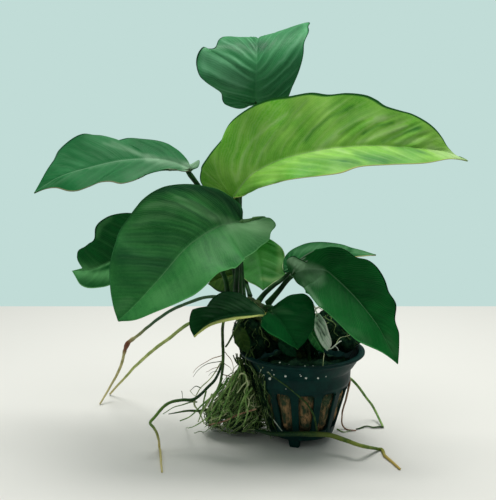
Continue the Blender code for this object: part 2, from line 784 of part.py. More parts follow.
def stand_on_origin():
    """Moves every solid so that the origin is under the middle of the whole plant, where it stands."""
    bpy.context.view_layer.update()
    graph = bpy.context.evaluated_depsgraph_get()
    corners = []
    for obj in bpy.context.scene.collection.objects:
        if obj.hide_render:
            continue
        mesh = obj.evaluated_get(graph).to_mesh()
        points = np.array([vertex.co for vertex in mesh.vertices])
        corners += [points.min(axis=0), points.max(axis=0)]
    low, high = np.min(corners, axis=0), np.max(corners, axis=0)
    shift = Matrix.Translation((-(low[0] + high[0]) / 2, -(low[1] + high[1]) / 2, -low[2]))
    for obj in bpy.context.scene.collection.objects:
        obj.data.transform(shift)


def main():
    for obj in list(bpy.data.objects):
        bpy.data.objects.remove(obj)
    add_pot()
    add_wool()
    add_tube("rhizome", smooth_path([seen(*point) for point in RHIZOME], 9), RHIZOME_RADII, sides=10)
    for leaf in LEAVES:
        frames = add_blade(leaf)
        add_stalk(leaf, frames)
    for root in ROOTS:
        add_root(root)
    add_root_mass()
    stand_on_origin()


main()
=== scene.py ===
"""Looks of the potted anubias: veined blades, stalks, rhizome, roots and their tangle, slotted pot and wool.

Sizes are in millimetres from the foot of the pot's axis. add_piece puts them into the frame, in metres.
"""

import math
from dataclasses import dataclass

import bpy
import numpy as np
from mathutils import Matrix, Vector, noise


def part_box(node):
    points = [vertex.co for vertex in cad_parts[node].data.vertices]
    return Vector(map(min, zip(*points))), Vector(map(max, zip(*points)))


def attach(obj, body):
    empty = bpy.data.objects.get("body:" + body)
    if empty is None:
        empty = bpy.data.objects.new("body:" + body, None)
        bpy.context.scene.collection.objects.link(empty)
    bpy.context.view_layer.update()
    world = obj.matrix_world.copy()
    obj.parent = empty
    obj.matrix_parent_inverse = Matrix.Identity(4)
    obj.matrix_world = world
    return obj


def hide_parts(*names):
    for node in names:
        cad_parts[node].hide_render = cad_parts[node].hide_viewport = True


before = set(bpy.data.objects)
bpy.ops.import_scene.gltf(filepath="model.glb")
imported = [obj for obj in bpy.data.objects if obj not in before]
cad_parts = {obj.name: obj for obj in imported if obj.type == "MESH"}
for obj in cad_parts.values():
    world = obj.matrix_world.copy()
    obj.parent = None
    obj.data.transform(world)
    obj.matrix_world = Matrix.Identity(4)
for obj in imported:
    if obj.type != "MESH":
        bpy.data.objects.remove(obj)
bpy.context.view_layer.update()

MM = 0.001
POT_LOW, POT_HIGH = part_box("net_pot")
POT_AXIS = np.array([(POT_LOW[0] + POT_HIGH[0]) / 2, (POT_LOW[1] + POT_HIGH[1]) / 2, 0.0]) / MM

# The place that the photograph was taken from, measured from the foot of the pot's axis, and its lens.
VIEWPOINT = np.array([-23.4, -429.6, 167.2])
VIEW_PITCH = math.radians(11.0)
VIEW_FORWARD = np.array([0.0, math.cos(VIEW_PITCH), -math.sin(VIEW_PITCH)])
VIEW_UP = np.array([0.0, math.sin(VIEW_PITCH), math.cos(VIEW_PITCH)])
VIEW_ACROSS = np.array([1.0, 0.0, 0.0])
VIEW_FOCAL = 1032.0
VIEW_CENTRE = (248.0, 250.0)
IMAGE_SIDE = 500.0
SENSOR_MM = 36.0

POT_RIM_Z = 40.2
POT_FLANGE_R = 27.0
POT_COLLAR = ((24.7, 37.6), (22.6, 34.2), (21.1, 32.4), (20.9, 27.2))
POT_WALL_TOP = (20.3, 26.4)
POT_WALL_FOOT = (13.9, 3.4)
POT_WALL = 1.1
POT_FLOOR_Z = POT_WALL_FOOT[1] + POT_WALL
# How far in from the flange and down from the rim the lip runs, and radii and heights of what follows it.
POT_LIP = ((2.6, 0.25), (2.2, 0.0), (0.35, 0.0), (0.1, 0.12), (0.0, 0.4), (0.0, 0.9), (0.25, 1.15))
COLLAR_OUTSIDE = (
    (25.2, 38.5), (24.7, 37.6), (23.7, 35.9), (22.75, 34.5), (22.45, 34.0), (21.4, 32.75), (21.1, 32.3),
    (21.03, 30.6), (20.96, 28.8), (20.92, 27.6), (20.84, 27.2), (20.45, 26.6), (20.3, 26.3),
)
FLOOR_UNDERSIDE = ((13.6, 3.45), (12.9, 3.4), (8.0, 3.4), (3.0, 3.4))
COLLAR_INSIDE = (
    (19.3, 26.6), (19.5, 27.8), (19.75, 29.8), (19.9, 32.4), (20.3, 33.1), (21.5, 34.5), (22.6, 36.2),
    (23.6, 38.0), (24.2, 39.4),
)
WALL_ROWS = 15
WALL_MIDDLE_R = 17
RIB_DEPTH, RIB_COUNT = 0.3, 24
POT_EDGE, POT_EDGE_ANGLE = 0.12, math.radians(55)
SLOT_COUNT = 12
SLOT_Z = (7.6, 25.6)
SLOT_START = math.radians(-97.0)
SLOT_SHARE = 2 / 3
SLOT_CORNER = 1.6
SLOT_STEPS = 24  # steps round the pot from the start of one slot to the next
SLOT_OPEN = round(SLOT_STEPS * SLOT_SHARE)  # steps across a slot
FOOT_SIZE = (5.2, 3.4)
# Heights of a foot's outline, and its size there as a share.
FOOT_RINGS, FOOT_SIDES = ((0.0, 0.72), (0.12, 0.8), (1.0, 0.86), (2.4, 0.95), (3.68, 1.08)), 24
FOOT_RADIUS = 11.6
FOOT_ANGLES = (253.0, 28.0, 140.0)
WOOL_GAP = 0.4
WOOL_TOP = 27.6
WOOL_LEVELS, WOOL_STEPS = 46, 200
TRIED_DEPTHS = (-32.0, 0.0, 0.1)  # first, end and step of the search for the pot's front

PATH_STEPS = 24  # steps of a smooth path between two of its knots
MIDRIB_POINTS = 241
MARGIN_POINTS = 720
SPINE_SHARE = 0.75  # of a blade's rows, those that start along the midrib and not at its foot
STALK_POINTS, STALK_SIDES = 90, 14
# A stalk's radius, as a share of its own, at shares of its length.
STALK_PROFILE = ((0, 1.3), (0.08, 1.15), (0.25, 1.0), (0.8, 0.8), (0.93, 1.0), (0.97, 0.75), (1.0, 0.3))
ROOT_POINTS, ROOT_SIDES = 130, 12
FINE_POINTS, FINE_SIDES = 44, 8
STRAND_SIDES = 6
TANGLE_STRANDS, CROWN_STRANDS, SPILLING_STRANDS = 420, 230, 100
TUBE_START = (0.31, 0.95, 0.05)  # a direction that no path starts along
TUBE_END = 0.6  # how far a tube's tip stands out, in radii
VEIN_BOW = 1.3
MARGIN_THICKNESS = 0.2
MIDDLE_THICKNESS = 0.6
RIDGE_HEIGHT, RIDGES_PER_VEIN = 0.014, 6
GROOVE_DEPTH, GROOVE_WIDTH = 0.35, 0.8
MIDRIB_BELOW, VEINS_BELOW = 0.95, 0.16  # how far they stand out under the blade
WAVE_HEIGHT, WAVE_SIZE = 0.35, 22.0
STALK_GROOVE = 0.16
# The search for the flat place of a margin's point: shares of the midrib's length that are tried along it and
# out from it (first, last, count), and then rounds that each move the best place by at most FIT_REACH.
TRIED_ALONG = (-0.4, 1.1, 76)
TRIED_OUT = (0.0, 0.75, 51)
FIT_ROUNDS, FIT_STEP, FIT_REACH = 6, 0.01, 2


def view_ray(right, down):
    right_share = (right - VIEW_CENTRE[0]) / VIEW_FOCAL
    down_share = (down - VIEW_CENTRE[1]) / VIEW_FOCAL
    return VIEW_FORWARD + VIEW_ACROSS * right_share - VIEW_UP * down_share


def seen(right, down, depth):
    """The point that the photograph shows this far right and down, at a depth behind the pot's axis."""
    ray = view_ray(right, down)
    return VIEWPOINT + ray * (depth - VIEWPOINT[1]) / ray[1]


def seen_on_floor(right, down, height):
    ray = view_ray(right, down)
    return VIEWPOINT + ray * (height - VIEWPOINT[2]) / ray[2]


def seen_on_pot(right, down, gap):
    """The point on the pot's front, a gap off its outside, that the photograph shows there."""
    for depth in np.arange(*TRIED_DEPTHS):
        spot = seen(right, down, depth)
        if math.hypot(spot[0], spot[1]) <= pot_outside(spot[2]) + gap:
            return spot
    return seen(right, down, 0.0)


def view_position(points):
    """How far right and down the photograph shows each point."""
    offset = points - VIEWPOINT
    ahead = offset @ VIEW_FORWARD
    right = VIEW_CENTRE[0] + VIEW_FOCAL * offset[..., 0] / ahead
    down = VIEW_CENTRE[1] - VIEW_FOCAL * (offset @ VIEW_UP) / ahead
    return np.stack([right, down], axis=-1)


def smooth_path(points, count):
    """Points at even spacing along a smooth curve through the given ones."""
    knots = np.array(points, float)
    ends = np.vstack([2 * knots[0] - knots[1], knots, 2 * knots[-1] - knots[-2]])
    dense = []
    for a, b, c, d in zip(ends, ends[1:], ends[2:], ends[3:]):
        for t in np.linspace(0.0, 1.0, PATH_STEPS, endpoint=False):
            square, cube = 2 * a - 5 * b + 4 * c - d, 3 * b - a - 3 * c + d
            dense.append(0.5 * (2 * b + (c - a) * t + square * t**2 + cube * t**3))
    dense.append(knots[-1])
    dense = np.array(dense)
    travelled = np.concatenate([[0.0], np.cumsum(np.linalg.norm(np.diff(dense, axis=0), axis=1))])
    wanted = np.linspace(0.0, travelled[-1], count)
    return np.stack([np.interp(wanted, travelled, dense[:, axis]) for axis in range(3)], axis=1)


def unit(vectors):
    vectors = np.asarray(vectors, float)
    return vectors / np.maximum(np.linalg.norm(vectors, axis=-1, keepdims=True), 1e-9)


def tangents(path):
    return unit(np.gradient(path, axis=0))


def spread_noise(points, size, seed=0.0):
    """Smooth noise, about -1 to 1, at each point, with lumps about as wide as size."""
    shift = Vector((seed * 7.3, seed * 3.1, seed * 5.7))
    return np.array([noise.noise(Vector(point) / size + shift) for point in points])


def put_in_scene(name, data):
    thing = bpy.data.objects.new(name, data)
    bpy.context.scene.collection.objects.link(thing)
    return thing


def add_piece(name, points, faces, slot, look, replaced=(), facts=None):
    """A mesh piece from points in millimetres. facts are values at its points that its material reads."""
    mesh = bpy.data.meshes.new(name)
    placed = (np.asarray(points, float) + POT_AXIS) * MM
    mesh.from_pydata(placed.tolist(), [], faces)
    mesh.update()
    mesh.polygons.foreach_set("use_smooth", [True] * len(mesh.polygons))
    for fact, values in (facts or {}).items():
        layer = mesh.attributes.new(fact, "FLOAT", "POINT")
        layer.data.foreach_set("value", np.asarray(values, np.float32))
    mesh.materials.append(look)
    piece = put_in_scene(name, mesh)
    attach(piece, "root")
    if replaced:
        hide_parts(*replaced)
    return piece


def turns_round(count):
    return np.arange(count) * 2 * math.pi / count


def round_axis(radius, angle, z):
    return (radius * math.cos(angle), radius * math.sin(angle), z)


def way(down, around):
    """The direction that leans this far from straight up, towards an angle round it."""
    return (math.sin(down) * math.cos(around), math.sin(down) * math.sin(around), math.cos(down))


def ring_faces(rings, sides, from_top=False):
    """Faces between rings of points that follow one another, from the lowest one up or the top one down."""
    faces = []
    for first in range(0, (rings - 1) * sides, sides):
        for corner in range(sides):
            here, after = first + corner, first + (corner + 1) % sides
            face = (here, after, after + sides, here + sides)
            faces.append((face[0], *reversed(face[1:])) if from_top else face)
    return faces


def capped_rings(rings, sides):
    last = (rings - 1) * sides
    return [*ring_faces(rings, sides), tuple(reversed(range(sides))), tuple(range(last, last + sides))]


def tube(path, radii, sides, squash):
    """A closed tube along a path, with pointed ends, from a radius and a ring of factors for each point."""
    along = tangents(path)
    side = unit(np.cross(along[0], TUBE_START))
    turns = turns_round(sides)
    points = []
    for centre, forward, radius, shape in zip(path, along, radii, squash):
        side = unit(side - forward * (side @ forward))
        ring = side * np.cos(turns)[:, None] + np.cross(forward, side) * np.sin(turns)[:, None]
        points.append(centre + ring * (radius * shape)[:, None])
    first_end = path[:1] - along[:1] * radii[0] * TUBE_END
    last_end = path[-1:] + along[-1:] * radii[-1] * TUBE_END
    faces, count = ring_faces(len(path), sides), len(path) * sides
    for corner in range(sides):
        after = (corner + 1) % sides
        faces.append((after, corner, count))
        faces.append((count - sides + corner, count - sides + after, count + 1))
    return np.concatenate([*points, first_end, last_end]), faces


def joined(parts):
    """Several (points, faces) as one."""
    points, faces, count = [], [], 0
    for some_points, some_faces in parts:
        points.append(some_points)
        faces += [tuple(corner + count for corner in face) for face in some_faces]
        count += len(some_points)
    return np.concatenate(points), faces


@dataclass
class Leaf:
    """A blade with its stalk. Its halves are left and right looking from stalk to tip, upper side up."""

    name: str
    midrib: tuple  # seen points from the stalk to the tip
    facing: tuple  # which way the upper side faces, at the stalk and at the tip
    left: tuple  # the margin from the stalk to the tip, as far right and down as it is seen
    right: tuple
    stalk: tuple  # seen points from the rhizome up to the blade
    stalk_radius: float = 1.2
    fold: tuple = (15.0, 15.0)  # degrees that each half rises from the midrib
    flat_width: tuple = (0.0, 0.0)  # over 0 where a margin is typed as shares of the length and of this width
    flow: tuple = ((), ())  # for each half, veins as (seen point of the midrib, seen point of the margin)
    slant: tuple = (0.8, 0.8)  # how far forward the veins of a half without a flow run for each step outward
    veins: float = 9.0  # side veins along each half of the midrib
    bulge: tuple = (0.3, 0.3)  # how far each half rises between two veins
    contrast: tuple = (0.5, 0.5)  # how clearly each half shows its veins
    fading: float = 0.0  # how much less at the tip
    strokes: tuple = ()  # painted sheen as paler sweeps, or painted shade as darker ones below 0: (seen route, half width, strength)
    ripple: tuple = (0.5, 3.0, 0.0)  # height, count and start of the waves at the margin
    rows: int = 300
    columns: int = 24
    slot: str = "dark_leaf"
    seed: float = 0.0  # its place in LEAVES, from 1


def blade_frames(leaf):
    """The midrib's points, which way it runs and which way is up there, and its length."""
    path = smooth_path([seen(*point) for point in leaf.midrib], MIDRIB_POINTS)
    length = np.linalg.norm(np.diff(path, axis=0), axis=1).sum()
    along = tangents(path)
    share = np.linspace(0, 1, len(path))[:, None]
    facing = unit(leaf.facing[0]) * (1 - share) + unit(leaf.facing[1]) * share
    normal = unit(facing - along * (facing * along).sum(axis=1, keepdims=True))
    return path, along, normal, length


def folded_points(leaf, frames, side, along_midrib, outward):
    """Where points of the flattened half lie once it is folded up at the midrib and follows its bends."""
    path, along, normal, length = frames
    sign = 1.0 if side == 0 else -1.0
    stations = np.linspace(0, length, len(path))
    inside = np.clip(along_midrib, 0, length)

    def at(values):
        return np.stack([np.interp(inside, stations, values[:, axis]) for axis in range(3)], axis=-1)

    forward, up = unit(at(along)), unit(at(normal))
    sideways = np.cross(up, forward) * sign
    centre = at(path) + forward * (along_midrib - inside)[..., None]
    fold = math.radians(leaf.fold[side])
    reach, rise = outward * math.cos(fold), outward * math.sin(fold)
    return centre + sideways * reach[..., None] + up * rise[..., None]


def flattened(leaf, frames, side, spots):
    """The seen margin laid flat: how far along the midrib and out from it each of its points lies."""
    tried = [np.linspace(*TRIED_ALONG) * frames[3], np.linspace(*TRIED_OUT) * frames[3]]
    along, out = np.meshgrid(*tried, indexing="ij")
    shown = view_position(folded_points(leaf, frames, side, along, out))
    found = []
    for spot in spots:
        misses = np.linalg.norm(shown - np.array(spot, float), axis=-1)
        best = np.unravel_index(misses.argmin(), misses.shape)
        guess = np.array([along[best], out[best]])
        for _ in range(FIT_ROUNDS):
            trial = np.array([guess, guess + [FIT_STEP, 0], guess + [0, FIT_STEP]])
            here, ahead, beside = view_position(folded_points(leaf, frames, side, trial[:, 0], trial[:, 1]))
            slope = np.stack([ahead - here, beside - here], axis=1) / FIT_STEP
            step = np.linalg.lstsq(slope, np.array(spot, float) - here, rcond=0.02)[0]
            guess = guess + np.clip(step, -FIT_REACH, FIT_REACH)
            guess[1] = max(guess[1], 0.0)
        found.append(guess)
    return np.array(found)


def half_margin(leaf, frames, side):
    """The margin of a half from the stalk to the tip, flattened, as MARGIN_POINTS points at even spacing."""
    length = frames[3]
    spots = (leaf.left, leaf.right)[side]
    if leaf.flat_width[side]:
        inner = np.array(spots, float) * [length, leaf.flat_width[side]]
    else:
        inner = flattened(leaf, frames, side, spots)
    corners = np.vstack([[0, 0], inner, [length, 0]])
    margin = smooth_path(np.column_stack([corners, np.zeros(len(corners))]), MARGIN_POINTS)[:, :2]
    margin[:, 1] = np.maximum(margin[:, 1], 0)
    return margin


def nearest(places, spot):
    return int(np.linalg.norm(places - np.array(spot, float), axis=1).argmin())


def vein_ends(leaf, frames, side, margin):
    """Where veins meet the midrib, as lengths along it, and which of the margin's points they reach."""
    path, length = frames[0], frames[3]
    if not leaf.flow[side]:
        reached = margin[:, 0] - leaf.slant[side] * margin[:, 1]
        turn = np.flatnonzero(reached[: len(margin) // 2] <= 0).max()
        passed = np.maximum.accumulate(np.maximum(reached[turn:], 0))
        passed[-1] = length
        return passed, turn + np.arange(len(passed))
    midrib_shown = view_position(path)
    margin_shown = view_position(folded_points(leaf, frames, side, margin[:, 0], margin[:, 1]))
    feet = [nearest(midrib_shown, foot) / (len(path) - 1) for foot, _ in leaf.flow[side]]
    tips = [nearest(margin_shown, tip) for _, tip in leaf.flow[side]]
    feet = np.array([0.0, *feet[1:], 1.0])
    tips = np.array([*tips, len(margin) - 1], float)
    return np.maximum.accumulate(feet) * length, np.maximum.accumulate(tips)


def vein_lines(leaf, frames, side, margin):
    """For each line from the midrib to the margin: its start, its end on the margin, its number in veins."""
    feet, tips = vein_ends(leaf, frames, side, margin)
    turn = tips[0]
    spine = round(SPINE_SHARE * leaf.rows)
    lobe = max(1, round(leaf.rows * turn / len(margin)))
    starts = np.linspace(0, frames[3], spine + 1)
    ends = np.interp(starts[1:], feet, tips)
    ends = np.concatenate([np.linspace(0, turn, lobe + 1), ends])
    starts = np.concatenate([np.zeros(lobe), starts])
    return starts, ends, (np.arange(lobe + spine + 1) - lobe) / spine * leaf.veins


def half_faces(index, side):
    """Faces of a half and its edges along the margin, from its points' numbers by line and column."""
    faces, edges = [], []
    for near, far in zip(index, index[1:]):
        for a, b, c, d in zip(near, near[1:], far[1:], far):
            corners = tuple(dict.fromkeys((a, b, c, d) if side else (d, c, b, a)))
            if len(corners) > 2:
                faces.append(corners)
        edges.append((far[-1], near[-1]) if side else (near[-1], far[-1]))
    return faces, edges


def blade_sheet(leaf, frames):
    """The blade's middle surface. Both halves share the midrib's points.

    Its facts for each point are the number in veins, the share of the way out to the margin, the share of the
    way along the midrib, the distance from the midrib, and the half: 0 on the midrib, 1 left, 2 right.
    """
    length = frames[3]
    spine = round(SPINE_SHARE * leaf.rows)
    starts = np.linspace(0, length, spine + 1)
    nothing = np.zeros(spine + 1)
    points = [folded_points(leaf, frames, 0, starts, nothing)]
    facts = [np.column_stack([starts / length * leaf.veins, nothing, starts / length, nothing, nothing])]
    faces, edges, first = [], [], spine + 1
    share = np.linspace(0, 1, leaf.columns + 1) ** 0.9
    for side in (0, 1):
        margin = half_margin(leaf, frames, side)
        starts, ends, number = vein_lines(leaf, frames, side, margin)
        reach_along, reach_out = (np.interp(ends, np.arange(len(margin)), axis)[:, None] for axis in margin.T)
        along = starts[:, None] + (reach_along - starts[:, None]) * share**VEIN_BOW
        outward = reach_out * share
        grid = folded_points(leaf, frames, side, along, outward)
        height, count, start = leaf.ripple
        shift = height * share**2 * np.sin(2 * math.pi * (count * along / length + start + 0.4 * side))
        grid = grid + unit(grid - VIEWPOINT) * (shift * np.minimum(1.0, 4 * (1 - along / length)))[..., None]
        lines = len(starts)
        rows, columns = lines - 2, leaf.columns
        points.append(grid[1:-1, 1:].reshape(-1, 3))
        own = [
            np.repeat(number[1:-1], columns), np.tile(share[1:], rows), along[1:-1, 1:].ravel() / length,
            outward[1:-1, 1:].ravel(), np.full(rows * columns, side + 1.0),
        ]
        facts.append(np.column_stack(own))
        index = np.zeros((lines, columns + 1), int)
        index[:, 0] = np.maximum(np.arange(lines) - (lines - spine - 1), 0)
        index[1:-1, 1:] = first + np.arange(rows * columns).reshape(rows, -1)
        index[-1] = spine
        first += rows * columns
        own_faces, own_edges = half_faces(index, side)
        faces += own_faces
        edges += own_edges
    points, facts = np.concatenate(points), np.concatenate(facts)
    facts[:, 0] += 0.18 * spread_noise(points, 14.0, leaf.seed)
    return points, facts, faces, edges


def normals_of(points, faces):
    total = np.zeros_like(points)
    for size in (3, 4):
        some = np.array([face for face in faces if len(face) == size])
        if len(some):
            across, up = points[some[:, 2]] - points[some[:, 0]], points[some[:, -1]] - points[some[:, 1]]
            turned = np.cross(across, up)
            for corner in range(size):
                np.add.at(total, some[:, corner], turned)
    return unit(total)


def blade_relief(leaf, points, facts):
    """How far the upper side stands off the middle surface, and the lower side behind it."""
    number, share, along, outward, half = facts.T
    near_vein = 0.5 - 0.5 * np.cos(2 * math.pi * number)
    fade = np.clip(share * 6, 0, 1) * np.clip((1 - share) * 2.6, 0, 1) * np.clip((1 - along) * 5, 0, 1)
    strips = np.column_stack([number * 0.9, share * 1.3, half * 9.0])
    uneven = spread_noise(strips, 1.0, leaf.seed + 2)
    flutes = spread_noise(strips * [2.2, 0.8, 1.0], 1.0, leaf.seed + 7)
    bulge = np.where(half == 1, leaf.bulge[0], leaf.bulge[1])
    swell = bulge * (near_vein**0.6 * (0.55 + 0.9 * uneven) + 0.9 * flutes) * fade
    swell = swell * (1 - leaf.fading * np.clip(along * 1.2, 0, 1))
    fine = RIDGE_HEIGHT * np.cos(2 * math.pi * RIDGES_PER_VEIN * number) * fade
    groove = np.exp(-((outward / GROOVE_WIDTH) ** 2)) * np.clip(1.15 - along, 0.1, 1)
    inward = np.clip((1 - share) * 5, 0, 1) ** 0.5
    thickness = MARGIN_THICKNESS + (MIDDLE_THICKNESS - MARGIN_THICKNESS) * inward
    broad = WAVE_HEIGHT * spread_noise(points, WAVE_SIZE, leaf.seed + 4) * share
    upper = thickness / 2 + swell + fine - GROOVE_DEPTH * groove + broad
    raised = VEINS_BELOW * np.exp(-((near_vein / 0.05) ** 2)) * fade
    lower = thickness / 2 - swell - fine * 0.5 + raised + MIDRIB_BELOW * groove - broad
    return upper, np.maximum(lower, MARGIN_THICKNESS / 2 - upper + 0.05)


def painted_sheen_shade_at(leaf, points):
    """How much painted sheen makes each point paler, or painted shade darker below 0, from the leaf's
    strokes.
    """
    shown, painted_sheen_shade = view_position(points), np.zeros(len(points))
    for route, width, strength in leaf.strokes:
        away = np.full(len(points), np.inf)
        corners = np.array(route, float)
        for a, b in zip(corners, corners[1:]):
            share = np.clip((shown - a) @ (b - a) / ((b - a) @ (b - a)), 0, 1)
            away = np.minimum(away, np.linalg.norm(shown - a - share[:, None] * (b - a), axis=1))
        painted_sheen_shade += strength * np.exp(-((away / width) ** 2))
    return np.clip(painted_sheen_shade, -1, 1)


def add_blade(leaf, looks):
    """The blade with both its sides and a narrow rim. It returns the frames along its midrib."""
    frames = blade_frames(leaf)
    sheet, facts, faces, edges = blade_sheet(leaf, frames)
    normals = normals_of(sheet, faces)
    if (normals @ unit(leaf.facing[0])).mean() < 0:
        normals = -normals
        faces = [face[::-1] for face in faces]
        edges = [edge[::-1] for edge in edges]
    upper, lower = blade_relief(leaf, sheet, facts)
    count = len(sheet)
    points = np.concatenate([sheet + normals * upper[:, None], sheet - normals * lower[:, None]])
    under = [tuple(corner + count for corner in face[::-1]) for face in faces]
    rims = [(b, a, a + count, b + count) for a, b in edges if a != b]
    number, share, along, outward, half = np.concatenate([facts, facts]).T
    read = {
        "vein": number, "outward": share, "along": along, "from_midrib": outward,
        "left_half": np.where(half == 1, 1.0, 0.0),
        "upper": np.repeat([1.0, 0.0], count),
        "clear": np.where(half == 1, leaf.contrast[0], leaf.contrast[1]) * (1 - leaf.fading * along),
        # painted sheen and painted shade from the strokes
        "painted_sheen_shade": np.tile(painted_sheen_shade_at(leaf, sheet), 2),
    }
    name, replaced = leaf.name + "_blade_skin", (leaf.name + "_blade",)
    add_piece(name, points, faces + under + rims, leaf.slot, looks[leaf.name], replaced, read)
    return frames


def add_stalk(leaf, frames, looks):
    """The stalk, grooved along its upper side, thicker at its foot and swollen where it meets the blade."""
    path, along, normal, _ = frames
    end = path[0] - normal[0] * leaf.stalk_radius * 0.7 + along[0] * 1.5
    corners = [seen(*point) for point in leaf.stalk] + [end, path[6] - normal[6] * 0.5]
    route = smooth_path(corners, STALK_POINTS)
    share = np.linspace(0, 1, STALK_POINTS)
    radii = leaf.stalk_radius * np.interp(share, *zip(*STALK_PROFILE))
    groove = STALK_GROOVE * np.exp(-((np.abs(turns_round(STALK_SIDES) - math.pi) / 0.5) ** 2))
    squash = 1 - groove[None, :] * np.ones((STALK_POINTS, 1))
    squash = squash + 0.04 * spread_noise(route, 6.0, leaf.seed)[:, None]
    points, faces = tube(route, radii, STALK_SIDES, squash)
    read = {"along": np.concatenate([np.repeat(share, STALK_SIDES), [0, 1]])}
    name, replaced = leaf.name + "_stalk_skin", (leaf.name + "_stalk",)
    add_piece(name, points, faces, "stalk", looks["stalk"], replaced, read)
